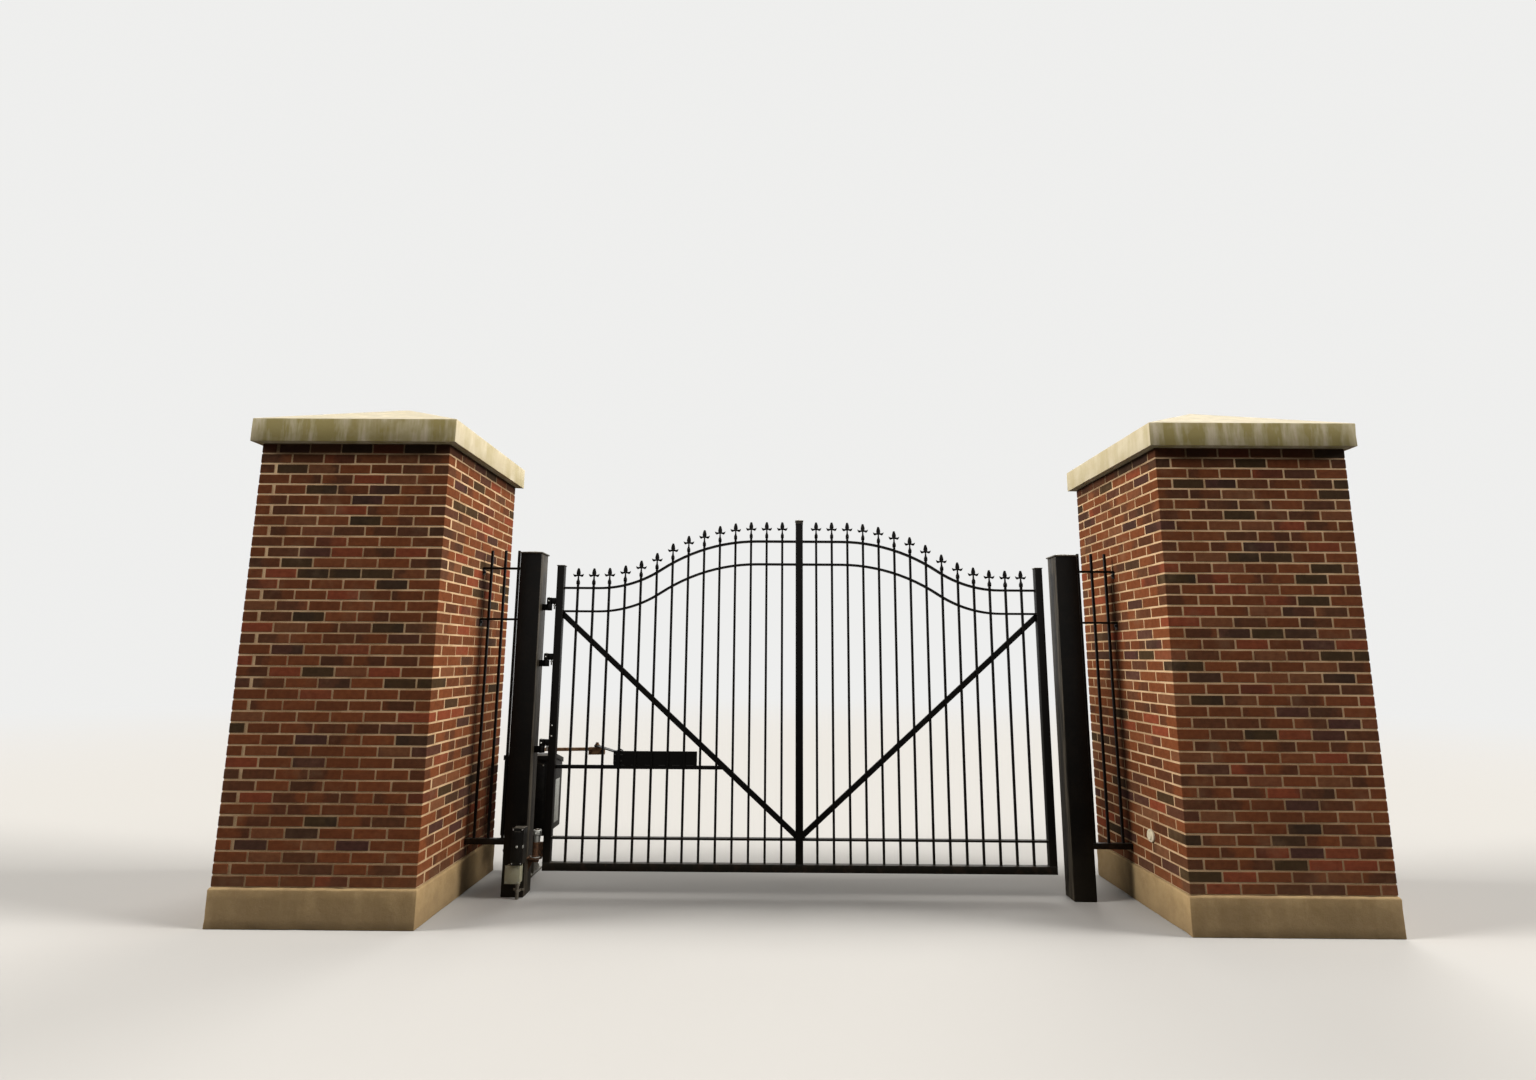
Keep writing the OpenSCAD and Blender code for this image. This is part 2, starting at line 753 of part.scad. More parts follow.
// Points of an edge of an arched rail, at an offset above its middle line
function arch_edge(offset) = concat(
    [[half_span - stile / 2, offset]],
    [for (i = [0:arch_steps]) let (a = arch_angle * i / arch_steps, r = low_radius - offset)
        [half_span - end_flat - r * sin(a), low_radius - r * cos(a)]],
    [for (i = [arch_steps:-1:0]) let (a = arch_angle * i / arch_steps, r = high_radius + offset)
        [crown_flat + r * sin(a), arch_rise - high_radius + r * cos(a)]],
    [[stile / 2, arch_rise + offset]]
);

function backwards(list) = [for (i = [len(list) - 1:-1:0]) list[i]];

module arch_rails(end_z) {
    outline = concat(arch_edge(-rail_h / 2), backwards(arch_edge(rail_h / 2)));
    color("black") for (side = [-1, 1]) at_half(side) difference() {
        translate([0, rail_d / 2, end_z]) rotate([90, 0, 0])
            linear_extrude(rail_d) polygon(outline);
        picket_holes(end_z - rail_h, arch_rise + 2 * rail_h);
    }
}

module leaf_pickets(side) {
    color("black") at_half(side) for (d = picket_places)
        translate([d, 0, rail_top]) upright(picket, picket_top(d) - rail_top);
}

// Half of the front outline of a finial, from the foot up to the tip
socket_half = picket / 2 + picket_fit + socket_wall;
socket_top = socket_d + 4;
leaf_z = neck_z + 4;
socket_edge = concat([[socket_half, 0]],
    curve([socket_half, socket_top], [finial_t / 2 + 1, socket_top + 10], [finial_t / 2, neck_z], 3));
leaf_edge = let (reach = finial_w / 2) concat(
    curve([finial_t / 2, leaf_z + 6], [reach * 0.36, leaf_z + 6], [reach * 0.62, leaf_z], 2),
    curve([reach * 0.62, leaf_z], [reach * 0.9, leaf_z], [reach, leaf_z + leaf_h], 3),
    curve([reach, leaf_z + leaf_h], [reach * 0.78, leaf_z + leaf_h * 0.6],
        [blade_w * 0.4, leaf_z + leaf_h * 0.7], 3));
blade_edge = let (wide_z = leaf_z + leaf_h * 1.1) concat(
    [[blade_w * 0.4, leaf_z + leaf_h * 0.7]],
    curve([blade_w / 2, wide_z], [blade_w * 0.44, (wide_z + finial_h) / 2], [0, finial_h], 4));

// Cast finial with a square socket, its foot on z = 0. Its front outline and its
// side outline are both extruded, and it is what the two have in common.
module finial() {
    deep = socket_half + bite;
    side_edge = concat(socket_edge, [[finial_t / 2, leaf_z + leaf_h], [finial_t / 8, finial_h]]);
    difference() {
        intersection() {
            extruded_both_sides(concat(socket_edge, leaf_edge, blade_edge), deep);
            rotate([0, 0, 90]) extruded_both_sides(side_edge, finial_w);
        }
        translate([0, 0, -bite]) upright(picket + 2 * picket_fit, socket_d + bite);
    }
}

module leaf_finials(side) {
    color("black") at_half(side) for (d = picket_places)
        translate([d, 0, picket_top(d) - socket_d]) finial();
}

// Box with a cover a little larger than its body, both given by their lower left corner
module covered_box(x, z, w, h, d) {
    union() {
        box([x + cover_over, post_front - d + bite, z + cover_over],
            [x + w - cover_over, post_front, z + h - cover_over]);
        box([x, post_front - d, z], [x + w, post_front - d + cover_t, z + h]);
    }
}

module control_box() {
    color("black") covered_box(-drive_clear / 2 + control_over - control_w, control_z,
        control_w, control_h, control_d);
}

// Junction box under the control box, with a short pipe up into that box
junction_x = -drive_clear / 2 - junction_set - junction_w / 2;
junction_y = post_front - junction_d / 2;
junction_low = control_z - 8 - junction_h;
conduit_x = -drive_clear / 2 - junction_set - 22;
module junction_box() {
    pipe_z = junction_low + junction_h - 2 * cover_over;
    color("silver") union() {
        covered_box(junction_x - junction_w / 2, junction_low, junction_w, junction_h, junction_d);
        translate([conduit_x, junction_y, pipe_z])
            cylinder(h = control_z + cover_over - pipe_z, r = conduit_r);
    }
}

// Conduit from the floor, with a coupling where it enters the junction box
module conduit() {
    top = junction_low + cover_over;
    color("gray") translate([conduit_x, junction_y, 0]) union() {
        cylinder(h = top, r = conduit_r);
        translate([0, 0, top - 22]) cylinder(h = 22, r = conduit_r + 4);
    }
}

module beam_reflector() {
    color("ivory") translate([pier_gap / 2, gate_y - reflector_y, reflector_z])
        rotate([0, -90, 0]) union() {
            cylinder(h = 14, r = reflector_r);
            translate([0, 0, 13]) cylinder(h = 9, r1 = reflector_r - 4, r2 = reflector_r - 8);
        }
}

pier_plinth(-1);  // hinge_pier_plinth
pier_shaft(-1);  // hinge_pier_shaft
pier_cap(-1);  // hinge_pier_cap
pier_plinth(1);  // latch_pier_plinth
pier_shaft(1);  // latch_pier_shaft
pier_cap(1);  // latch_pier_cap
gate_post(-1);  // hinge_post
gate_post_cap(-1);  // hinge_post_cap
gate_post(1);  // latch_post
gate_post_cap(1);  // latch_post_cap
infill_pickets(-1);  // hinge_infill_pickets
infill_rails(-1);  // hinge_infill_rails
infill_bottom(-1);  // hinge_infill_tube
infill_pickets(1);  // latch_infill_pickets
infill_rails(1);  // latch_infill_rails
infill_bottom(1);  // latch_infill_tube
hinge_brackets();
hinge_knuckles();
foot_bracket();
foot_barrel();
foot_collar();
operator_pedestal();
operator_cabinet();
operator_lid();
crank_shaft();
crank_arm();
link_arm();
link_bracket();
arm_plate();
arm_rail();
outer_stile(-1);  // hinge_stile
outer_stile(1);  // latch_stile
centre_stile();
stile_cap(leaf_mid - half_span, stile_top, 4);  // hinge_stile_cap
stile_cap(leaf_mid + half_span, stile_top, 4);  // latch_stile_cap
flared_cap();  // centre_stile_cap
bottom_rail();
lower_rails();
arch_rails(arch_end_z);  // outer_arch_rails
arch_rails(arch_end_z - arch_drop);  // inner_arch_rails
brace(-1);  // hinge_side_brace
brace(1);  // latch_side_brace
leaf_pickets(-1);  // hinge_side_pickets
leaf_pickets(1);  // latch_side_pickets
leaf_finials(-1);  // hinge_side_finials
leaf_finials(1);  // latch_side_finials
control_box();
junction_box();
conduit();
beam_reflector();
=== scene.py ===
"""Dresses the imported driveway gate: brick, stone, paint, castings and small fittings."""

import logging
import math
import random
from dataclasses import dataclass, replace
from enum import Enum, IntEnum
from typing import Optional, Sequence, Union

import bmesh
import bpy
from mathutils import Matrix, Vector, noise


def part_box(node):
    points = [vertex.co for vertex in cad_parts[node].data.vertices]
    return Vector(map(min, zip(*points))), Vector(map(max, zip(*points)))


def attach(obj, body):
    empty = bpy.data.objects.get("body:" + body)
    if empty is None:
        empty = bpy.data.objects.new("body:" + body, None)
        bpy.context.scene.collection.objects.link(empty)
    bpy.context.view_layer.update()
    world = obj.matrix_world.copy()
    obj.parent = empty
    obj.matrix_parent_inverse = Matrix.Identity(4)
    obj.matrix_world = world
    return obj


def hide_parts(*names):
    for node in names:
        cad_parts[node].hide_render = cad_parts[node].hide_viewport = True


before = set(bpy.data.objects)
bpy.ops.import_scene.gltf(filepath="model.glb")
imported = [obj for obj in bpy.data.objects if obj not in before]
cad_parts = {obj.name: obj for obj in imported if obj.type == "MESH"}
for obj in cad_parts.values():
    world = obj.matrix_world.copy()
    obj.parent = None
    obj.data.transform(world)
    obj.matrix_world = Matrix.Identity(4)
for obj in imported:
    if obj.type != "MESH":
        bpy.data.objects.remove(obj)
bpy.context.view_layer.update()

LOG = logging.getLogger("driveway_gate")
Colour = tuple[float, float, float]
Point = tuple[float, float, float]
Place = Union[Point, Vector]
Socket = bpy.types.NodeSocket
Value = Union[Socket, float, Colour]

UP = Vector((0, 0, 1))
RIGHT = Vector((1, 0, 0))
FRONT = Vector((0, -1, 0))
BACK = Vector((0, 1, 0))


class Side(Enum):
    """The two sides of the gateway, seen from the front."""

    HINGE = -1
    LATCH = 1

    @property
    def word(self) -> str:
        """First word of the names of this side's pieces."""
        return self.name.lower()


class Axis(IntEnum):
    """The three axes, as places in a vector."""

    X = 0
    Y = 1
    Z = 2


class Body(Enum):
    """The bodies that pieces ride on."""

    GATEWAY = "gateway"
    LEAF = "leaf"
    CRANK = "crank"
    LINK = "link"


class Graph:
    """Node tree of a material or of the world."""

    def __init__(self, owner: Union[bpy.types.Material, bpy.types.World]) -> None:
        """Starts with an empty tree.

        Args:
            owner: The material or world that has the tree.
        """
        owner.use_nodes = True
        self.nodes = owner.node_tree.nodes
        self.links = owner.node_tree.links
        self.nodes.clear()

    def feed(self, target: Socket, value: Value) -> None:
        """Links a socket to a target, or sets the target's own value.

        Args:
            target: An input of a node.
            value: The socket or the value that it gets.
        """
        if isinstance(value, Socket):
            self.links.new(value, target)
        elif target.type == "RGBA":
            target.default_value = (*value, 1.0)
        else:
            target.default_value = value

    def node(self, kind: str, *values: Value, mode: str = "", **named: Value) -> bpy.types.Node:
        """Adds a node.

        Args:
            kind: End of the name of its class.
            values: What its first inputs get.
            mode: Its operation, where it has a choice.
            named: What the inputs of these names get, with _ for each space.

        Returns:
            The node.
        """
        node = self.nodes.new("ShaderNode" + kind)
        if mode:
            node.operation = mode
        for target, value in zip(node.inputs, values):
            self.feed(target, value)
        for name, value in named.items():
            self.feed(node.inputs[name.replace("_", " ")], value)
        return node

    def count(self, how: str, a: Value, b: Value) -> Socket:
        """Result of one arithmetic step on two values."""
        return self.node("Math", a, b, mode=how).outputs["Value"]

    def times(self, a: Value, b: Value) -> Socket:
        """Product of two values."""
        return self.count("MULTIPLY", a, b)

    def plus(self, a: Value, b: Value) -> Socket:
        """Sum of two values."""
        return self.count("ADD", a, b)


class Paint(Graph):
    """Node tree of one material, with a short call for each step of a finish."""

    def __init__(self, name: str) -> None:
        """Makes a material with a Principled shader.

        Args:
            name: Name of the material.
        """
        self.material = bpy.data.materials.new(name)
        super().__init__(self.material)
        self.shader = self.node("BsdfPrincipled")
        self.output = self.node("OutputMaterial", Surface=self.shader.outputs["BSDF"])
        self.object_coords = self.node("TexCoord").outputs["Object"]

    def stretched(self, scale: Point) -> Socket:
        """Object coordinates, stretched along the axes."""
        return self.node("Mapping", Vector=self.object_coords, Scale=scale).outputs["Vector"]

    def grain(self, scale: float, detail: float = 3.0, vector: Optional[Socket] = None) -> Socket:
        """Noise between 0 and 1.

        Args:
            scale: Number of features in a metre.
            detail: Number of finer layers.
            vector: Coordinates, or None for the object's own.

        Returns:
            The noise's value.
        """
        where = vector or self.object_coords
        node = self.node("TexNoise", Vector=where, Scale=scale, Detail=detail, Roughness=0.6)
        return node.outputs["Fac"]

    def cells(self, scale: float) -> Socket:
        """Distance to the nearest of scattered points, for pits."""
        return self.node("TexVoronoi", Vector=self.object_coords, Scale=scale).outputs["Distance"]

    def spread(self, value: Socket, low: float, high: float, to: float = 1.0) -> Socket:
        """Brings low to 0 and high to a value, with a smooth step between.

        Args:
            value: The value to bring over.
            low: What becomes 0.
            high: What becomes the highest value.
            to: The highest value.

        Returns:
            The new value.
        """
        node = self.node("MapRange", Value=value, From_Min=low, From_Max=high, To_Max=to)
        node.interpolation_type = "SMOOTHSTEP"
        return node.outputs["Result"]

    def mix(self, share: Socket, a: Value, b: Value) -> Socket:
        """Colour a where share is 0, and colour b where it is 1."""
        return self.node("MixRGB", share, a, b).outputs["Color"]

    def shade(self, colour: Socket, value: Socket) -> Socket:
        """Colour made lighter or darker by a value."""
        return self.node("VectorMath", colour, mode="SCALE", Scale=value).outputs["Vector"]

    def ramp(self, value: Socket, stops: Sequence[tuple[float, Colour]]) -> Socket:
        """Colour from a row of stops.

        Args:
            value: Place along the row, between 0 and 1.
            stops: Place and colour of each stop.

        Returns:
            The colour.
        """
        node = self.node("ValToRGB", value)
        elements = node.color_ramp.elements
        elements.remove(elements[1])
        elements[0].position, elements[0].color = stops[0][0], (*stops[0][1], 1.0)
        for place, colour in stops[1:]:
            elements.new(place).color = (*colour, 1.0)
        return node.outputs["Color"]

    def attribute(self, name: str) -> Socket:
        """Value of a mesh's own attribute.

        Args:
            name: Name of the attribute.

        Returns:
            The value at each point.
        """
        node = self.node("Attribute")
        node.attribute_name = name
        return node.outputs["Fac"]

    def facing(self, axis: Axis) -> Socket:
        """How far the surface faces along an axis, from -1 to 1."""
        normal = self.node("NewGeometry").outputs["Normal"]
        return self.node("SeparateXYZ", normal).outputs[axis.name]

    def height(self) -> Socket:
        """Height above the floor in metres."""
        return self.node("SeparateXYZ", self.object_coords).outputs["Z"]

    def fade(self, near: float, far: float, colour: Colour) -> None:
        """Lets a seen surface pass into a plain shining colour with distance.

        Args:
            near: Distance in metres from the middle at which it starts.
            far: Distance at which only the colour is left.
            colour: The colour.
        """
        away = self.node("VectorMath", self.object_coords, mode="LENGTH").outputs["Value"]
        seen = self.node("LightPath").outputs["Is Camera Ray"]
        share = self.times(self.spread(away, near, far), seen)
        glow = self.node("Emission", Color=colour).outputs["Emission"]
        blend = self.node("MixShader", share, self.shader.outputs["BSDF"], glow)
        self.feed(self.output.inputs["Surface"], blend.outputs["Shader"])

    def bump(self, value: Socket, depth: float, below: Optional[Socket] = None) -> Socket:
        """Surface relief.

        Args:
            value: Height of the relief between 0 and 1.
            depth: Height in metres where the value is 1.
            below: Relief that lies under this one.

        Returns:
            The normal for the shader.
        """
        node = self.node("Bump", Strength=1.0, Distance=depth, Height=value)
        if below:
            self.feed(node.inputs["Normal"], below)
        return node.outputs["Normal"]


@dataclass(frozen=True)
class Finish:
    """A finish with worn patches, specks, settled dust and dirt splashed up from the floor.

    The posts' sides also have pale streaks, partly grime and partly a painted sheen, and the brick
    and its mortar have a painted shadow under the caps.
    Scales are features in a metre, depths and heights are metres and shares go up to 1.
    """

    name: str
    slot: str
    base: Colour
    worn: Colour
    specks: Colour
    roughness: float
    metallic: float = 0.0
    specular: float = 0.5
    worn_scale: float = 9.0
    worn_share: float = 0.5
    speck_scale: float = 140.0
    speck_share: float = 0.04
    dust: Colour = (0.20, 0.17, 0.13)
    dust_share: float = 0.5
    splash_height: float = 0.3
    splash_share: float = 0.35
    grain_scale: float = 700.0
    grain_depth: float = 0.0004
    lump_scale: float = 60.0
    lump_depth: float = 0.0001
    # Painted shadow under the caps: its colour, the height where it starts, how far up it deepens,
    # and its strength.
    soot: Colour = (0.012, 0.007, 0.005)
    soot_height: float = 2.825
    soot_rise: float = 0.075
    soot_share: float = 0.0
    # Pale streaks on the sideways faces: partly grime, partly a painted sheen.
    side_share: float = 0.0

    def make(self) -> bpy.types.Material:
        """Builds the material, or finds it if it is there already.

        Returns:
            The material.
        """
        found = bpy.data.materials.get(self.name + "_finish")
        if found:
            return found
        paint = Paint(self.name + "_finish")
        shader = paint.shader.inputs
        shader["Metallic"].default_value = self.metallic
        shader["Specular IOR Level"].default_value = self.specular
        colour = self.splashed(paint, self.dusty(paint, self.colour(paint)))
        # Pale streaks on the sideways faces, partly grime and partly painted sheen.
        if self.side_share:
            colour = self.streaked(paint, colour)
        # Painted shadow in a band under the caps.
        if self.soot_share:
            colour = self.sooty(paint, colour)
        paint.feed(shader["Base Color"], colour)
        paint.feed(shader["Roughness"], self.sheen(paint))
        paint.feed(shader["Normal"], self.relief(paint))
        return paint.material

    def colour(self, paint: Paint) -> Socket:
        """Colour with worn patches and specks, before dust and dirt.

        Args:
            paint: The material in the making.

        Returns:
            The colour.
        """
        blur, speck_top, speck_blur = 0.12, 0.72, 0.05
        edge = 1.0 - self.worn_share
        patches = paint.spread(paint.grain(self.worn_scale, 6.0), edge - blur, edge + blur)
        colour = paint.mix(patches, self.base, self.worn)
        edge = speck_top - self.speck_share
        spots = paint.spread(paint.grain(self.speck_scale, 2.0), edge, edge + speck_blur)
        return paint.mix(spots, colour, self.specks)

    def dusty(self, paint: Paint, colour: Socket) -> Socket:
        """Adds the dust that lies in patches on upward faces.

        Args:
            paint: The material in the making.
            colour: The colour so far.

        Returns:
            The new colour.
        """
        upward = paint.spread(paint.facing(Axis.Z), 0.35, 0.95, self.dust_share)
        lying = paint.times(upward, paint.spread(paint.grain(14.0, 5.0), 0.2, 0.75))
        return paint.mix(lying, colour, self.dust)

    def splashed(self, paint: Paint, colour: Socket) -> Socket:
        """Adds the dirt that rain splashes up, with a ragged edge.

        Args:
            paint: The material in the making.
            colour: The colour so far.

        Returns:
            The new colour.
        """
        ragged, bottom = -0.2, -0.1
        height = paint.plus(paint.height(), paint.times(paint.grain(8.0), ragged))
        splash = paint.spread(height, self.splash_height, bottom, self.splash_share)
        return paint.mix(splash, colour, self.dust)

    def streaked(self, paint: Paint, colour: Socket) -> Socket:
        """Adds pale upright streaks on the faces that look sideways: partly grime, partly a
        painted sheen where those faces reflect the sky.

        Args:
            paint: The material in the making.
            colour: The colour so far.

        Returns:
            The new colour.
        """
        sideways = paint.times(paint.facing(Axis.X), paint.facing(Axis.X))
        sideways = paint.spread(sideways, 0.4, 0.9, self.side_share)
        streaks = paint.grain(1.0, 5.0, paint.stretched((34.0, 34.0, 2.4)))
        grime_and_sheen = paint.times(sideways, paint.spread(streaks, 0.32, 0.62))
        return paint.mix(grime_and_sheen, colour, self.dust)

    def sooty(self, paint: Paint, colour: Socket) -> Socket:
        """Adds a painted shadow: the dark band under the caps.

        Args:
            paint: The material in the making.
            colour: The colour so far.

        Returns:
            The new colour.
        """
        top = self.soot_height + self.soot_rise
        share = paint.spread(paint.height(), self.soot_height, top, self.soot_share)
        return paint.mix(share, colour, self.soot)

    def sheen(self, paint: Paint) -> Socket:
        """Roughness, a little uneven about its mean.

        Args:
            paint: The material in the making.

        Returns:
            The roughness.
        """
        swing = 0.24
        uneven = paint.times(paint.grain(22.0, 4.0), swing)
        return paint.plus(uneven, self.roughness - swing / 2)

    def relief(self, paint: Paint) -> Socket:
        """Fine grain over broader lumps."""
        lumps = paint.bump(paint.grain(self.lump_scale, 3.0), self.lump_depth)
        return paint.bump(paint.grain(self.grain_scale, 2.0), self.grain_depth, lumps)


@dataclass(frozen=True)
class BrickFinish(Finish):
    """Wire-cut brick, each with its own tone and some flashed dark at one end."""

    burnt: Colour = (0.030, 0.020, 0.014)
    palette: tuple[tuple[float, Colour], ...] = (
        (0.00, (0.050, 0.030, 0.014)),
        (0.06, (0.056, 0.031, 0.015)),
        (0.10, (0.068, 0.029, 0.023)),
        (0.16, (0.094, 0.037, 0.018)),
        (0.30, (0.128, 0.041, 0.016)),
        (0.55, (0.152, 0.047, 0.018)),
        (0.76, (0.172, 0.053, 0.020)),
        (0.87, (0.155, 0.064, 0.030)),
        (0.93, (0.186, 0.047, 0.021)),
        (1.00, (0.206, 0.050, 0.023)),
    )

    def colour(self, paint: Paint) -> Socket:
        """Fired tone of each brick, mottled, with drag lines and pale specks.

        Args:
            paint: The material in the making.

        Returns:
            The colour.
        """
        tone = paint.ramp(paint.attribute("tone"), self.palette)
        flash = paint.plus(paint.attribute("flash"), paint.times(paint.grain(16.0, 4.0), 0.7))
        tone = paint.mix(paint.spread(flash, 0.7, 1.0, 0.5), tone, self.burnt)
        drag = paint.times(paint.grain(1.0, 4.0, paint.stretched((22.0, 22.0, 260.0))), 0.5)
        mottle = paint.times(paint.grain(30.0, 5.0), 0.9)
        colour = paint.shade(tone, paint.plus(paint.plus(drag, mottle), 0.32))
        colour = paint.mix(paint.spread(paint.grain(5.0, 6.0), 0.52, 0.78, 0.2), colour, self.worn)
        specks = paint.spread(paint.grain(420.0, 2.0), 0.66, 0.74, 0.5)
        return paint.mix(specks, colour, self.specks)

    def relief(self, paint: Paint) -> Socket:
        """Drag lines, pits and sand grain.

        Args:
            paint: The material in the making.

        Returns:
            The normal for the shader.
        """
        drag_depth, pit_depth, sand_depth = 0.0007, 0.0004, 0.0002
        drag = paint.grain(1.0, 4.0, paint.stretched((26.0, 26.0, 300.0)))
        below = paint.bump(drag, drag_depth)
        below = paint.bump(paint.spread(paint.cells(150.0), 0.06, 0.2), pit_depth, below)
        return paint.bump(paint.grain(800.0, 2.0), sand_depth, below)


@dataclass(frozen=True)
class StoneFinish(Finish):
    """Cut or cast stone with runs of stain down its sides, and more of the same olive colour, so
    darker, on the faces toward the front.
    """

    stain: Colour = (0.300, 0.245, 0.070)
    # How much more of the olive colour, and so how much darker, the faces toward the front get.
    front_share: float = 0.85

    def colour(self, paint: Paint) -> Socket:
        """Pale stone with patches and vertical runs.

        Args:
            paint: The material in the making.

        Returns:
            The colour.
        """
        elsewhere, thinnest, strongest = 0.22, 0.45, 0.9
        colour = Finish.colour(self, paint)
        runs = paint.grain(1.0, 5.0, paint.stretched((11.0, 11.0, 1.6)))
        broad = paint.spread(paint.grain(3.2, 4.0), 0.25, 0.75)
        # Faces toward the front get more of the olive colour, which makes them darker.
        front = paint.spread(paint.facing(Axis.Y), 0.2, -0.8, self.front_share)
        share = paint.times(paint.spread(runs, 0.30, 0.62), paint.plus(front, elsewhere))
        share = paint.times(share, paint.plus(broad, thinnest))
        share = paint.times(share, paint.spread(paint.facing(Axis.Z), 0.5, 0.1))
        return paint.mix(paint.count("MINIMUM", share, strongest), colour, self.stain)


class Finishes:
    """Every finish of the gate, one for each of the record's slots and a few more."""

    GATE = Finish(
        "gate_paint", "gate_paint", (0.0028, 0.0022, 0.0016), (0.0056, 0.0042, 0.0030),
        (0.030, 0.018, 0.012), 0.36, specular=0.11, worn_share=0.42, speck_share=0.0,
        speck_scale=85.0, dust=(0.105, 0.088, 0.064), dust_share=0.42, splash_height=0.42,
        splash_share=0.20, grain_scale=380.0, grain_depth=0.00025, lump_scale=45.0,
        lump_depth=0.0007,
    )
    RAIL = replace(
        GATE, name="dusty_gate_paint", worn=(0.024, 0.014, 0.008), worn_scale=13.0,
        specks=(0.060, 0.030, 0.015), speck_share=0.05, dust_share=0.55,
    )
    WELD = replace(
        GATE, name="painted_weld", worn=(0.016, 0.010, 0.007), worn_scale=60.0,
        specks=(0.060, 0.030, 0.015), speck_share=0.07, specular=0.2, grain_depth=0.0006,
    )
    # Posts: strong pale streaks on their sides, partly grime and partly a painted sheen.
    POST = replace(GATE, name="post_paint", side_share=0.62)
    # Cap paint: a grey base under heavy dust, much lighter than the black of posts and stiles; the
    # dust is real, the grey base is partly a painted highlight on the caps' tops and edges.
    CAP = Finish(
        "cap_paint", "cap_paint", (0.060, 0.056, 0.046), (0.120, 0.110, 0.090),
        (0.05, 0.03, 0.02), 0.5, specular=0.3, dust=(0.36, 0.335, 0.28), dust_share=0.85,
        splash_height=0.0, splash_share=0.0, grain_scale=380.0, grain_depth=0.0003,
    )
    # The brick darkens under the caps: a painted shadow.
    BRICK = BrickFinish(
        "brick", "brick", (0.15, 0.055, 0.02), (0.30, 0.19, 0.11), (0.25, 0.14, 0.075), 0.9,
        specular=0.06, dust=(0.17, 0.115, 0.065), dust_share=0.3, splash_height=0.34,
        splash_share=0.3, soot_share=0.72,
    )
    # The mortar darkens under the caps too: a painted shadow.
    MORTAR = Finish(
        "mortar", "brick", (0.560, 0.385, 0.225), (0.360, 0.225, 0.120), (0.70, 0.53, 0.34),
        0.93, specular=0.06, worn_scale=4.0, speck_scale=520.0, speck_share=0.14,
        dust_share=0.2, grain_scale=620.0, grain_depth=0.0004, lump_scale=70.0,
        lump_depth=0.0016, soot_share=0.72,
    )
    STONE = StoneFinish(
        "limestone", "limestone", (0.620, 0.555, 0.410), (0.540, 0.470, 0.320),
        (0.42, 0.34, 0.18), 0.82, specular=0.3, worn_scale=4.5, speck_scale=260.0,
        speck_share=0.05, dust=(0.43, 0.395, 0.30), dust_share=0.92, splash_share=0.0,
        grain_scale=520.0, grain_depth=0.0003, lump_scale=34.0, lump_depth=0.0010,
    )
    CONCRETE = StoneFinish(
        "concrete", "concrete", (0.430, 0.300, 0.145), (0.330, 0.222, 0.104),
        (0.52, 0.41, 0.25), 0.9, specular=0.25, worn_scale=7.0, speck_scale=300.0,
        speck_share=0.09, dust=(0.23, 0.16, 0.085), dust_share=0.5, splash_height=0.22,
        splash_share=0.6, grain_scale=420.0, grain_depth=0.0006, lump_scale=26.0,
        lump_depth=0.002, stain=(0.27, 0.180, 0.080), front_share=0.4,
    )
    RUST = Finish(
        "rusty_iron", "rusty_iron", (0.020, 0.013, 0.010), (0.105, 0.045, 0.020),
        (0.24, 0.115, 0.050), 0.78, specular=0.3, metallic=0.1, worn_scale=26.0,
        worn_share=0.55, speck_scale=120.0, speck_share=0.12, dust=(0.20, 0.12, 0.07),
        grain_scale=420.0, grain_depth=0.0012, lump_scale=80.0, lump_depth=0.0018,
    )
    ZINC = Finish(
        "galvanised_steel", "galvanised_steel", (0.46, 0.47, 0.44), (0.60, 0.61, 0.57),
        (0.22, 0.17, 0.11), 0.44, metallic=0.6, worn_scale=70.0, speck_share=0.05,
        dust_share=0.35, grain_depth=0.0003,
    )
    DULL_ZINC = replace(
        ZINC, name="dull_zinc", base=(0.150, 0.135, 0.108), worn=(0.215, 0.190, 0.150),
        roughness=0.6, metallic=0.35,
    )
    STEEL = Finish(
        "bright_steel", "bright_steel", (0.50, 0.49, 0.47), (0.30, 0.28, 0.25),
        (0.12, 0.07, 0.04), 0.34, metallic=1.0, worn_scale=40.0, worn_share=0.35,
        speck_share=0.04, dust_share=0.3, grain_depth=0.0002,
    )
    OPERATOR = Finish(
        "operator_paint", "operator_paint", (0.010, 0.0095, 0.009), (0.019, 0.018, 0.016),
        (0.06, 0.048, 0.035), 0.36, specular=0.16, dust=(0.20, 0.18, 0.14), dust_share=0.6,
        grain_scale=480.0, grain_depth=0.0005, lump_scale=90.0, lump_depth=0.0005,
    )
    PRIMER = Finish(
        "tan_paint", "tan_paint", (0.300, 0.165, 0.078), (0.150, 0.065, 0.028),
        (0.050, 0.028, 0.018), 0.7, specular=0.35, worn_scale=16.0, worn_share=0.45,
        speck_share=0.1, dust=(0.34, 0.27, 0.19), grain_scale=420.0, grain_depth=0.0009,
        lump_scale=60.0, lump_depth=0.0012,
    )
    BLACK_PLASTIC = Finish(
        "black_plastic", "black_plastic", (0.0045, 0.0040, 0.0034), (0.0095, 0.0082, 0.0068),
        (0.05, 0.04, 0.03), 0.5, specular=0.10, speck_share=0.02, dust=(0.38, 0.35, 0.29),
        dust_share=0.85, splash_height=0.3, splash_share=0.12, grain_scale=900.0,
        grain_depth=0.0003,
    )
    GREY_PLASTIC = Finish(
        "grey_plastic", "grey_plastic", (0.420, 0.415, 0.300), (0.350, 0.335, 0.225),
        (0.18, 0.14, 0.085), 0.6, specular=0.4, worn_scale=14.0, dust=(0.46, 0.42, 0.30),
        splash_height=0.2, splash_share=0.35, grain_scale=900.0, grain_depth=0.0003,
    )
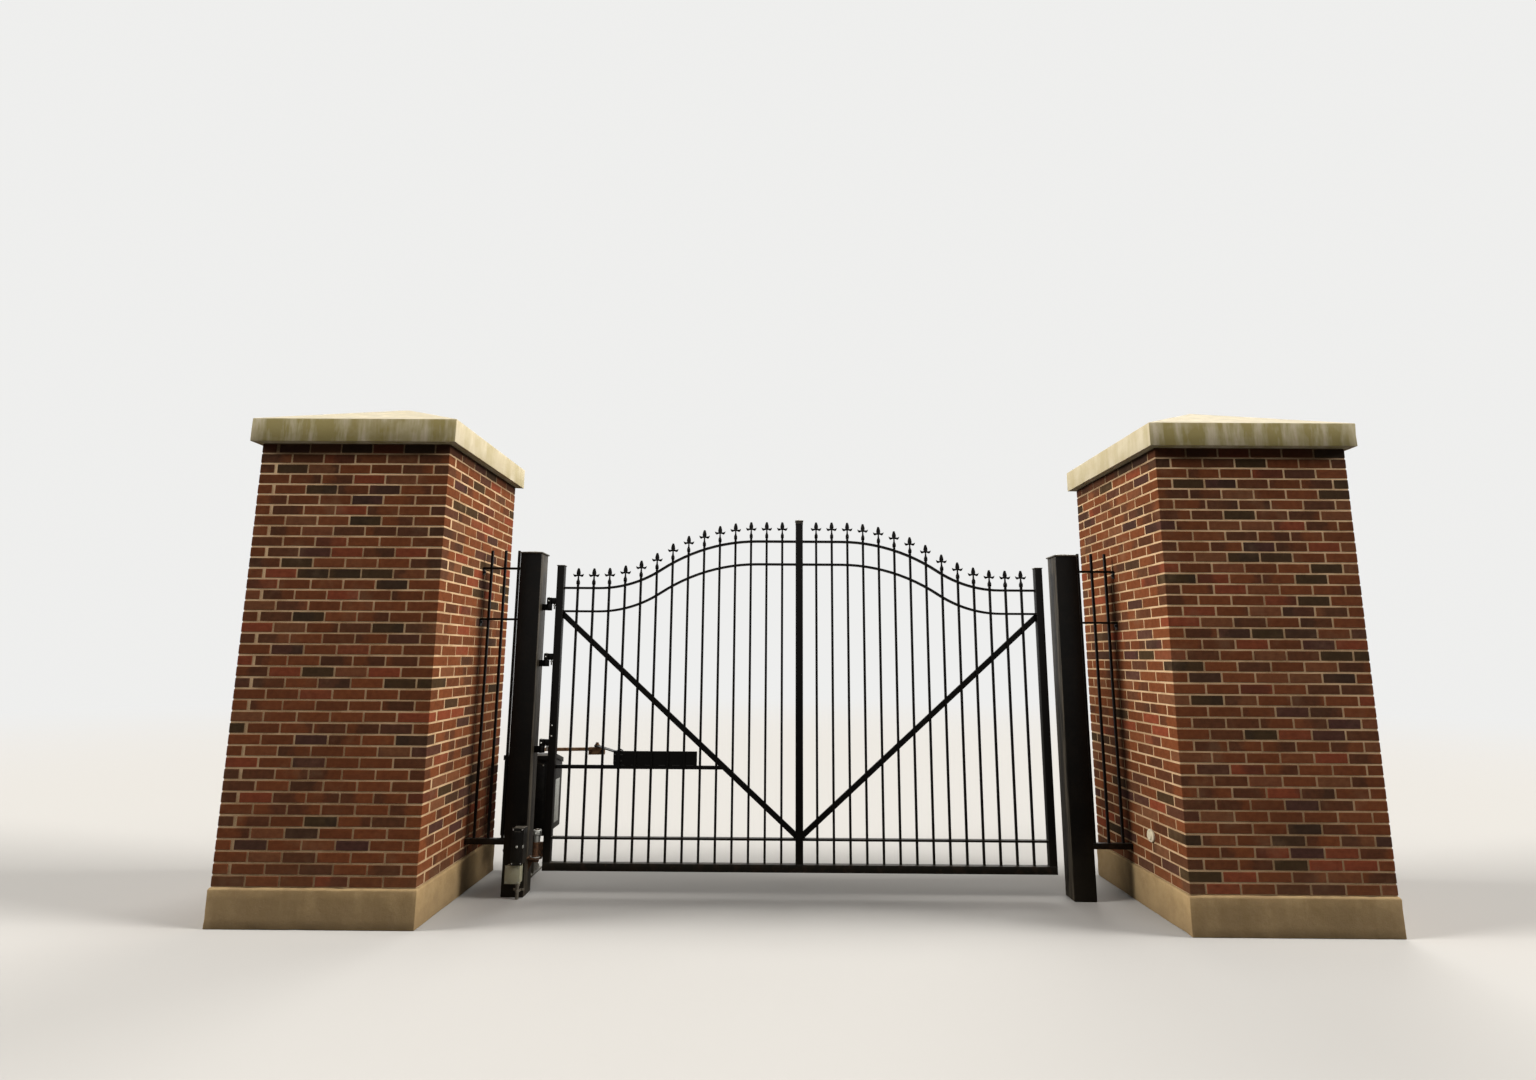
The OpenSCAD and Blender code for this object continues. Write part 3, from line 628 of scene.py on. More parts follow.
    WHITE_PLASTIC = Finish(
        "white_plastic", "white_plastic", (0.700, 0.640, 0.500), (0.600, 0.530, 0.380),
        (0.34, 0.27, 0.17), 0.35, specular=0.5, worn_scale=30.0, dust_share=0.3,
        splash_share=0.1, grain_depth=0.0001,
    )


def turned_to(axis: Place) -> Matrix:
    """Turn that brings the Z axis to a direction."""
    return UP.rotation_difference(Vector(axis)).to_matrix().to_4x4()


def put(name: str, data: bpy.types.ID) -> bpy.types.Object:
    """Puts a new object in the scene.

    Args:
        name: Name of the object.
        data: Its mesh, lamp or camera.

    Returns:
        The object.
    """
    made = bpy.data.objects.new(name, data)
    bpy.context.scene.collection.objects.link(made)
    return made


class Shape:
    """A mesh in the making: forms are added in metres, then it becomes one piece."""

    def __init__(self) -> None:
        """Starts with an empty mesh."""
        self.mesh = bmesh.new()

    def edges_of(self, points: Sequence[bmesh.types.BMVert]) -> list[bmesh.types.BMEdge]:
        """Every edge at the given points."""
        return list(dict.fromkeys(edge for point in points for edge in point.link_edges))

    def place(self, points: Sequence[bmesh.types.BMVert], matrix: Matrix) -> None:
        """Moves and turns the given points."""
        bmesh.ops.transform(self.mesh, matrix=matrix, verts=points)

    def round(self, edges: Sequence[bmesh.types.BMEdge], width: float, steps: int = 2) -> None:
        """Rounds edges.

        Args:
            edges: The edges to round.
            width: Distance from the edge to where the rounding starts.
            steps: Number of faces across the rounding.
        """
        bmesh.ops.bevel(
            self.mesh, geom=list(edges), offset=width, offset_type="OFFSET", affect="EDGES",
            segments=steps, profile=0.5, material=-1, clamp_overlap=True,
        )

    def cut(self, edges: Sequence[bmesh.types.BMEdge], cuts: int) -> None:
        """Cuts each of the edges into equal lengths, and the faces between them."""
        bmesh.ops.subdivide_edges(self.mesh, edges=edges, cuts=cuts, use_grid_fill=True)

    def block(
        self, low: Place, high: Place, width: float = 0.0, steps: int = 2,
        turn: Optional[Matrix] = None,
    ) -> None:
        """Adds a block with rounded edges.

        Args:
            low: Lowest corner.
            high: Highest corner.
            width: Width of the rounding, 0 for none.
            steps: Number of faces across the rounding.
            turn: Rotation about the middle of the block.
        """
        low, high = Vector(low), Vector(high)
        made = bmesh.ops.create_cube(self.mesh, size=1.0)["verts"]
        place = Matrix.Translation((low + high) / 2)
        if turn:
            place = place @ turn.to_4x4()
        self.place(made, place @ Matrix.Diagonal((*(high - low), 1.0)))
        if width:
            self.round(self.edges_of(made), width, steps)

    def column(
        self, tall: float, radius: float, end_radius: float, sides: int,
    ) -> list[bmesh.types.BMVert]:
        """Adds a closed column or cone about the origin, on the Z axis.

        Args:
            tall: Its height.
            radius: Radius of its foot.
            end_radius: Radius of its head.
            sides: Number of sides.

        Returns:
            Its points.
        """
        return bmesh.ops.create_cone(
            self.mesh, cap_ends=True, segments=sides, radius1=radius, radius2=end_radius,
            depth=tall,
        )["verts"]

    def rod(
        self, start: Place, end: Place, radius: float, sides: int = 24,
        end_radius: Optional[float] = None, width: float = 0.0,
    ) -> None:
        """Adds a round or many-sided bar between two points.

        Args:
            start: Middle of the first end.
            end: Middle of the second end.
            radius: Radius at the first end.
            sides: Number of sides.
            end_radius: Radius at the second end, or None for the same.
            width: Rounding of the two end edges, 0 for none.
        """
        start, end = Vector(start), Vector(end)
        along = end - start
        last = radius if end_radius is None else end_radius
        made = self.column(along.length, radius, last, sides)
        self.place(made, Matrix.Translation((start + end) / 2) @ turned_to(along))
        if width:
            rims = [
                edge for edge in self.edges_of(made)
                if any(len(face.verts) > 4 or sides < 5 for face in edge.link_faces)
            ]
            self.round(rims, width, 1)

    def bolt(self, foot: Place, axis: Place, size: float, washer: bool = True) -> None:
        """Adds a hexagonal bolt head on its washer.

        Args:
            foot: Point of the surface that it is screwed to.
            axis: Direction out of the surface.
            size: Radius of the head over its corners.
            washer: Whether it has a washer.
        """
        foot, axis = Vector(foot), Vector(axis).normalized()
        seat = 0.0
        if washer:
            seat = size * 0.22
            self.rod(foot, foot + axis * seat, size * 1.45, 20, width=size * 0.05)
        top = foot + axis * (seat + size * 0.8)
        self.rod(foot + axis * seat, top, size, 6, width=size * 0.1)
        self.rod(top, top + axis * size * 0.12, size * 0.8, 16, end_radius=size * 0.66)

    def bead(self, start: Place, end: Place, radius: float, seed: int = 1) -> None:
        """Adds a rippled weld bead along a line.

        Args:
            start: Where the bead starts.
            end: Where it ends.
            radius: Mean radius of the bead.
            seed: Start of the random ripples.
        """
        ripple, valley, thinnest, thickest = 0.9, 0.76, 0.85, 1.1
        start, end = Vector(start), Vector(end)
        dice = random.Random(seed)
        long = (end - start).length
        first = len(self.mesh.verts)
        sides = [
            edge for edge in self.edges_of(self.column(long, radius, radius, 6))
            if abs((edge.verts[0].co - edge.verts[1].co).z) > long / 2
        ]
        rings = max(3, int(long / (radius * ripple)))
        bmesh.ops.subdivide_edges(self.mesh, edges=sides, cuts=rings - 1)
        self.mesh.verts.ensure_lookup_table()
        made = self.mesh.verts[first:]
        swell = [
            dice.uniform(thinnest, thickest) * (1.0 if i % 2 else valley)
            for i in range(rings + 1)
        ]
        for point in made:
            ring = round((point.co.z / long + 0.5) * rings)
            point.co.x *= swell[ring]
            point.co.y *= swell[ring]
        self.place(made, Matrix.Translation((start + end) / 2) @ turned_to(end - start))

    def weld_round(self, low: Vector, high: Vector, axis: Axis, radius: float) -> None:
        """Runs a weld bead round the square end of a bar.

        Args:
            low: Lowest corner of the end.
            high: Highest corner of the end.
            axis: Axis of the bar.
            radius: Radius of the bead.
        """
        millimetres = 1000
        across, up = [other for other in Axis if other is not axis]
        corners = []
        for first, second in ((low, low), (high, low), (high, high), (low, high)):
            corner = Vector(low)
            corner[across], corner[up] = first[across], second[up]
            corners.append(corner)
        for i, corner in enumerate(corners):
            other = corners[(i + 1) % 4]
            if (other - corner).length > 2 * radius:
                self.bead(corner, other, radius, i + int(corner.x * millimetres))

    def weld_ends(self, node: str, axis: Axis, value: float, radius: float) -> None:
        """Welds round each bar of a CAD node that ends at a value on an axis."""
        for low, high in ends(node, axis, value):
            self.weld_round(low, high, axis, radius)

    def dome(
        self, foot: Place, axis: Place, radius: float, rise: float, sides: int = 12,
    ) -> None:
        """Adds a low domed head, such as a screw, a plug or a dust cap.

        Args:
            foot: Middle of its foot.
            axis: Direction out of the surface.
            radius: Radius of its foot.
            rise: Height of its top.
            sides: Number of sides.
        """
        buried, rim, shrink = -0.2 * rise, 0.3, 0.96
        profile = [(0.0, buried), (radius, buried), (radius, rim * rise)]
        for angle in (30, 60):
            wide, tall = math.cos(math.radians(angle)), math.sin(math.radians(angle))
            profile.append((radius * wide * shrink, rise * (rim + (1 - rim) * tall)))
        profile.append((0.0, rise))
        self.revolve(profile, Matrix.Translation(Vector(foot)) @ turned_to(axis), sides)

    def nipple(self, foot: Vector, neck: float, stand: float, radius: float, rise: float) -> None:
        """Adds a grease nipple on its hexagon, towards the front.

        Args:
            foot: Point of the surface that it is screwed to.
            neck: Radius of the hexagon.
            stand: Height of the hexagon.
            radius: Radius of the nipple.
            rise: Height of the nipple.
        """
        seat = foot + FRONT * stand
        self.rod(foot, seat, neck, 6)
        self.dome(seat, FRONT, radius, rise, 10)

    def revolve(self, profile: Sequence[tuple[float, float]], place: Matrix, sides: int) -> None:
        """Spins a profile round its own Z axis and puts it in place.

        Args:
            profile: Radius and height of each point, from the foot up.
            place: Where the shape goes.
            sides: Number of sides.
        """
        points = [self.mesh.verts.new((radius, 0.0, height)) for radius, height in profile]
        lines = [self.mesh.edges.new(pair) for pair in zip(points, points[1:])]
        before = set(self.mesh.verts) - set(points)
        bmesh.ops.spin(
            self.mesh, geom=points + lines, axis=(0, 0, 1), cent=(0, 0, 0),
            angle=2 * math.pi, steps=sides, use_merge=True,
        )
        made = [point for point in self.mesh.verts if point not in before]
        bmesh.ops.remove_doubles(self.mesh, verts=made, dist=1e-6)
        made = [point for point in self.mesh.verts if point not in before]
        faces = list(dict.fromkeys(face for point in made for face in point.link_faces))
        bmesh.ops.recalc_face_normals(self.mesh, faces=faces)
        self.place(made, place)

    def as_data(self, name: str) -> bpy.types.Mesh:
        """Ends the mesh in the making and keeps it as mesh data.

        Args:
            name: Name of the data.

        Returns:
            The mesh data.
        """
        data = bpy.data.meshes.new(name)
        self.mesh.to_mesh(data)
        self.mesh.free()
        return data

    def finish(
        self, name: str, finish: Finish, body: Body = Body.GATEWAY,
        replaces: Sequence[str] = (), smooth: float = 32.0,
    ) -> None:
        """Makes the piece, dresses it and lets it ride on its body.

        Args:
            name: Name of the piece.
            finish: Its finish.
            body: The body that it rides on.
            replaces: CAD nodes that it stands for.
            smooth: Angle in degrees up to which edges are shaded smooth.
        """
        data = self.as_data(name)
        for left in ("custom_normal", "UVMap"):
            if left in data.attributes:
                data.attributes.remove(data.attributes[left])
        data.polygons.foreach_set("use_smooth", [True] * len(data.polygons))
        data.set_sharp_from_angle(angle=math.radians(smooth))
        data.materials.clear()
        data.materials.append(finish.make())
        piece = put(name, data)
        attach(piece, body.value)
        if replaces:
            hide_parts(*replaces)
        LOG.info("%s: %d faces on %s", name, len(data.polygons), body.value)


def copy_of(node: str, width: float, steps: int) -> Shape:
    """Copies a CAD node as a shape with merged corners and rounded edges.

    Args:
        node: Name of the node.
        width: Width of the rounding.
        steps: Number of faces across the rounding.

    Returns:
        The shape, ready for additions.
    """
    doubles, flat, sharp = 2e-6, math.radians(0.5), math.radians(30)
    shape = Shape()
    mesh = shape.mesh
    mesh.from_mesh(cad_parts[node].data)
    bmesh.ops.remove_doubles(mesh, verts=mesh.verts, dist=doubles)
    bmesh.ops.dissolve_limit(
        mesh, angle_limit=flat, use_dissolve_boundaries=False, verts=mesh.verts,
        edges=mesh.edges,
    )
    corners = [e for e in mesh.edges if e.is_manifold and e.calc_face_angle(0.0) > sharp]
    shape.round(corners, width, steps)
    return shape


def dress(
    node: str, ending: str, finish: Finish, body: Body = Body.GATEWAY,
    width: float = 0.001, steps: int = 1, smooth: float = 32.0,
) -> None:
    """Stands a rounded and dressed copy in for a CAD node.

    Args:
        node: Name of the node.
        ending: What the piece's name adds to the node's name.
        finish: The piece's finish.
        body: The body that it rides on.
        width: Width of the rounding of its edges.
        steps: Number of faces across the rounding.
        smooth: Angle in degrees up to which edges are shaded smooth.
    """
    copy_of(node, width, steps).finish(node + ending, finish, body, [node], smooth)


def span(node: str) -> tuple[Vector, Vector]:
    """Lowest and highest corner of a CAD node."""
    low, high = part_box(node)
    return Vector(low), Vector(high)


def ends(node: str, axis: Axis, value: float) -> list[tuple[Vector, Vector]]:
    """Bounds of each place where the bars of a CAD node end on a plane.

    Args:
        node: Name of the node.
        axis: Axis that is square to the plane: Z for upright bars, which stand apart
            along X, and X for level ones.
        value: Place of the plane on that axis.

    Returns:
        Lowest and highest corner of each end.
    """
    reach, apart = 0.0008, 0.06
    along = Axis.X if axis is Axis.Z else Axis.Z
    points = [point.co.copy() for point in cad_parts[node].data.vertices]
    points = sorted((p for p in points if abs(p[axis] - value) < reach), key=lambda p: p[along])
    groups: list[list[Vector]] = []
    for point in points:
        if groups and point[along] - groups[-1][-1][along] < apart:
            groups[-1].append(point)
        else:
            groups.append([point])
    return [(Vector(map(min, zip(*group))), Vector(map(max, zip(*group)))) for group in groups]


@dataclass
class Pier:
    """Square brick pier with its plinth and stone cap."""

    side: Side
    brick_long: float = 0.1945
    brick_deep: float = 0.092
    shortest: float = 0.990
    joint: float = 0.0104
    drift: float = 0.005
    across: int = 6
    courses: int = 40
    recess: float = 0.0030
    core_round: float = 0.004
    forms: int = 6
    arris: tuple[float, float] = (0.0016, 0.0028)
    wobble: float = 0.0006
    offset: float = 0.0009
    skew: float = 0.22
    flashed: float = 0.35
    flash_reach: float = 0.9
    seed: int = 11
    wear_step: float = 0.09
    wear_passes: int = 6

    def __post_init__(self) -> None:
        """Reads the shaft's place from the frame."""
        self.name = self.side.word + "_pier_"
        self.low, self.high = span(self.name + "shaft")
        self.rise = (self.high.z - self.low.z) / self.courses

    def build(self) -> None:
        """Builds and dresses the whole pier."""
        self.bricks()
        self.mortar()
        self.cast("plinth", "foot", Finishes.CONCRETE, 0.006, 0.004, 3)
        self.cast("cap", "stone", Finishes.STONE, 0.007, 0.0035, 17)

    def brick_forms(self, dice: random.Random) -> list[bpy.types.Mesh]:
        """Makes a few brick forms with uneven arrises, centred, lying along X.

        Args:
            dice: Random source.

        Returns:
            The meshes of the forms.
        """
        tall = self.rise - self.joint
        forms = []
        for _ in range(self.forms):
            shape = Shape()
            long = self.brick_long * dice.uniform(self.shortest, 1.0)
            half = Vector((long / 2, self.brick_deep / 2, tall / 2))
            shape.block(-half, half, dice.uniform(*self.arris), 1)
            lengths = [(e, e.verts[0].co - e.verts[1].co) for e in shape.mesh.edges]
            shape.cut([e for e, apart in lengths if abs(apart.x) > self.brick_long / 2], 2)
            for point in shape.mesh.verts:
                point.co += Vector(
                    [-math.copysign(dice.uniform(0, self.wobble), value) for value in point.co]
                )
            forms.append(shape.as_data("brick_form"))
        return forms

    def places(self) -> list[tuple[Point, bool]]:
        """Middle of each brick of the shaft, and whether it lies along Y.

        Each course has two faces of six bricks and, between them, two of five. On the
        hinge side's pier the fives lie closer and aside, which leaves a wider joint.

        Returns:
            One entry for each brick, course by course.
        """
        side = self.high.x - self.low.x
        module = (side - self.brick_long) / (self.across - 1)
        edge = side / 2 - self.brick_deep / 2
        hinge = self.side is Side.HINGE
        drift, closer = self.drift if hinge else 0.0, 0.4
        tight = self.brick_long + self.joint - drift * closer
        found = []
        for course in range(self.courses):
            z = (course + 0.5) * self.rise + self.low.z
            turned = course % 2 != (0 if hinge else 1)
            for face in (-1, 1):
                moved = face * drift * (-1 if turned else 1)
                row = [
                    ((i - (self.across - 1) / 2) * module, face * edge, turned)
                    for i in range(self.across)
                ]
                row += [
                    (face * edge, (i - (self.across - 2) / 2) * tight + moved, not turned)
                    for i in range(self.across - 1)
                ]
                for a, b, along_y in row:
                    found.append(((b, a, z) if turned else (a, b, z), along_y))
        return found

    def bricks(self) -> None:
        """Lays every brick of the shaft in stretcher bond, each with its own tone."""
        plain = -9.0
        dice = random.Random(self.seed + self.side.value)
        middle = (self.low + self.high) / 2
        forms = self.brick_forms(dice)
        shape = Shape()
        tone = shape.mesh.verts.layers.float.new("tone")
        flash = shape.mesh.verts.layers.float.new("flash")
        for (x, y, z), turned in self.places():
            first = len(shape.mesh.verts)
            shape.mesh.from_mesh(dice.choice(forms))
            shape.mesh.verts.ensure_lookup_table()
            made = shape.mesh.verts[first:]
            value = dice.random()
            slope = dice.choice((-1.0, 1.0)) / self.brick_long
            burnt = dice.random() < self.flashed
            reach = dice.uniform(0.0, self.flash_reach) if burnt else plain
            for point in made:
                point[tone] = value
                point[flash] = min(1.0, max(0.0, point.co.x * slope + reach))
            sink = Vector((x, y, 0.0)).normalized() * dice.uniform(0.0, self.offset)
            turn = Matrix.Rotation(math.radians(dice.uniform(-self.skew, self.skew)), 4, "Z")
            if turned:
                turn = turn @ Matrix.Rotation(math.pi / 2, 4, "Z")
            where = Vector((x + middle.x, y + middle.y, z)) - sink
            where.z += dice.uniform(-self.offset, self.offset)
            shape.place(made, Matrix.Translation(where) @ turn)
        for form in forms:
            bpy.data.meshes.remove(form)
        shape.finish(self.name + "bricks", Finishes.BRICK, replaces=[self.name + "shaft"])

    def mortar(self) -> None:
        """Makes the core whose surface shows as recessed joints."""
        shape = Shape()
        inset = Vector((self.recess, self.recess, 0.0))
        shape.block(self.low + inset, self.high - inset, self.core_round)
        shape.finish(self.name + "mortar", Finishes.MORTAR)

    def cast(
        self, part: str, ending: str, finish: Finish, width: float, depth: float, seed: int,
    ) -> None:
        """Makes the plinth or the cap, with faces and arrises worn inwards.

        Args:
            part: Last word of the CAD node's name.
            ending: Last word of the piece's name.
            finish: Its finish.
            width: Rounding of its edges.
            depth: Deepest wear.
            seed: Offset of the wear's pattern.
        """
        node = self.name + part
        shape = copy_of(node, width, 2)
        mesh = shape.mesh
        for _ in range(self.wear_passes):
            long_edges = [e for e in mesh.edges if e.calc_length() > self.wear_step]
            if not long_edges:
                break
            shape.cut(long_edges, 1)
        bmesh.ops.triangulate(mesh, faces=mesh.faces)
        mesh.normal_update()
        low, high = span(node)
        middle = (low + high) / 2
        shift = Vector((seed, 0.0, 0.0))
        broad, fine, fine_share = 9, 31, 0.6
        for point in mesh.verts:
            rough = noise.noise(point.co * broad + shift)
            rough += fine_share * noise.noise(point.co * fine + shift)
            inward = max(0.0, rough) * depth
            away = point.co - middle
            for axis in Axis:
                away[axis] *= 1 - min(1.0, inward / ((high - low)[axis] / 2))
            point.co = middle + away
        shape.finish(self.name + ending, finish, replaces=[node])


@dataclass
class Leaf:
    """The arched leaf: tubes, rails, pickets, finials, bracing and their welds."""

    tube_round: float = 0.003
    cast_round: float = 0.0011
    cast_smooth: float = 48.0
    seam: float = 0.0026
    cap_seam: float = 0.7
    stitches: int = 6
    stitch_long: float = 0.05
    stitch_seam: float = 0.003
    screw_heights: tuple[float, float] = (0.834, 0.905)
    screw_place: float = 0.36
    stiles: tuple[str, ...] = ("hinge_stile", "centre_stile", "latch_stile")
    braces: tuple[str, ...] = ("hinge_side_brace", "latch_side_brace", "arm_rail")
    rails: tuple[str, ...] = ("lower_rails", "outer_arch_rails", "inner_arch_rails")
    pickets: tuple[str, ...] = ("hinge_side_pickets", "latch_side_pickets")

    def build(self) -> None:
        """Builds and dresses the whole leaf."""
        for node in self.stiles:
            dress(node, "_tube", Finishes.GATE, Body.LEAF, self.tube_round, 3)
            dress(node + "_cap", "_plate", Finishes.CAP, Body.LEAF, steps=2)
        dress("bottom_rail", "_tube", Finishes.RAIL, Body.LEAF, self.tube_round, 3)
        for node in (*self.braces, "arm_plate", *self.rails, *self.pickets):
            finish = Finishes.RAIL if node == "lower_rails" else Finishes.GATE
            dress(node, "_bars", finish, Body.LEAF)
        for side in Side:
            dress(
                side.word + "_side_finials", "_cast", Finishes.GATE, Body.LEAF,
                self.cast_round, smooth=self.cast_smooth,
            )
        self.welds()
        self.plate_welds()
        self.stile_screws()

    def welds(self) -> None:
        """Runs a weld round each end of a bar, and round each stile cap."""
        shape = Shape()
        foot = span("bottom_rail")[1].z
        for node in (*self.stiles, *self.pickets):
            shape.weld_ends(node, Axis.Z, foot, self.seam)
        for node in self.stiles:
            shape.weld_ends(node, Axis.Z, span(node)[1].z, self.seam * self.cap_seam)
        sides = [corner.x for node in self.stiles for corner in span(node)]
        for node in (*self.rails, *self.braces):
            for side in sides:
                shape.weld_ends(node, Axis.X, side, self.seam)
        shape.finish("leaf_welds", Finishes.WELD, Body.LEAF)

    def plate_welds(self) -> None:
        """Runs short welds along the foot of the backing plate, on its rail."""
        shape = Shape()
        low, high = span("arm_plate")
        half, bite = self.stitch_long / 2, 0.001
        for i in range(self.stitches):
            middle = low.x + (high.x - low.x) * (i + 0.5) / self.stitches
            for y in (low.y + bite, high.y):
                start, end = (middle - half, y, low.z), (middle + half, y, low.z)
                shape.bead(start, end, self.stitch_seam, i)
        shape.finish("arm_plate_welds", Finishes.WELD, Body.LEAF)

    def stile_screws(self) -> None:
        """Drives two small plated screws in the front of the hinge stile, below its middle."""
        shape = Shape()
        low, high = span("hinge_stile")
        x = low.x + self.screw_place * (high.x - low.x)
        for up in self.screw_heights:
            shape.dome((x, low.y, low.z + up), FRONT, 0.0055, 0.003)
        shape.finish("stile_screws", Finishes.ZINC, Body.LEAF)


@dataclass
class Posts:
    """The two steel posts, their caps and the infill panels."""

    tube_round: float = 0.006
    cap_round: float = 0.002
    infill_round: float = 0.003
    tab_bolt: float = 0.45
    seam: float = 0.003
    panel_seam: float = 0.8
    bolt: float = 0.009
    tab_thick: float = 0.007
    tab_tall: float = 0.047
    rail_thick: float = 0.014
    angle_thick: float = 0.016
    angle_bolt: float = 0.036

    def build(self) -> None:
        """Builds and dresses posts and panels."""
        for side in Side:
            post, panel = side.word + "_post", side.word + "_infill_"
            dress(post, "_tube", Finishes.POST, width=self.tube_round, steps=3)
            dress(post + "_cap", "_plate", Finishes.CAP, width=self.cap_round, steps=2)
            dress(panel + "pickets", "_bars", Finishes.GATE)
            dress(panel + "rails", "_bars", Finishes.GATE)
            dress(panel + "tube", "_steel", Finishes.RAIL, width=self.infill_round, steps=3)
            self.welds(side)
            self.bolts(side)

    def faces(self, side: Side) -> tuple[float, float]:
        """Finds the post's face and the brick face at the two ends of a panel.

        Args:
            side: Side of the gateway.

        Returns:
            Their places on X.
        """
        pick = max if side is Side.LATCH else min
        post = pick(corner.x for corner in span(side.word + "_post"))
        brick = pick(corner.x for corner in span(side.word + "_infill_rails"))
        return post, brick

    def welds(self, side: Side) -> None:
        """Runs the welds of one post and its panel.

        Args:
            side: Side of the gateway.
        """
        shape = Shape()
        post, panel = side.word + "_post", side.word + "_infill_"
        thin = self.seam * self.panel_seam
        low, high = span(post)
        shape.weld_round(Vector((low.x, low.y, high.z)), high, Axis.Z, self.seam)
        for part in ("rails", "tube"):
            shape.weld_ends(panel + part, Axis.X, self.faces(side)[0], thin)
        shape.weld_ends(panel + "pickets", Axis.Z, span(panel + "pickets")[0].z, thin)
        shape.finish(post + "_welds", Finishes.WELD)

    def bolts(self, side: Side) -> None:
        """Bolts the bent tabs of the rails to the brick, and the angle to the post.

        Args:
            side: Side of the gateway.
        """
        shape = Shape()
        post, brick = self.faces(side)
        out = RIGHT * side.value
        low, high = span(side.word + "_infill_rails")
        middle = (low.y + high.y) / 2
        for tab_top in (low.z + self.tab_tall, high.z - self.rail_thick):
            x = brick - side.value * self.tab_thick
            shape.bolt((x, middle, tab_top - self.tab_tall * self.tab_bolt), -out, self.bolt)
        low = span(side.word + "_infill_tube")[0]
        x = post + side.value * self.angle_thick
        shape.bolt((x, middle, low.z + self.angle_bolt), out, self.bolt)
        shape.finish(side.word + "_panel_bolts", Finishes.WELD)


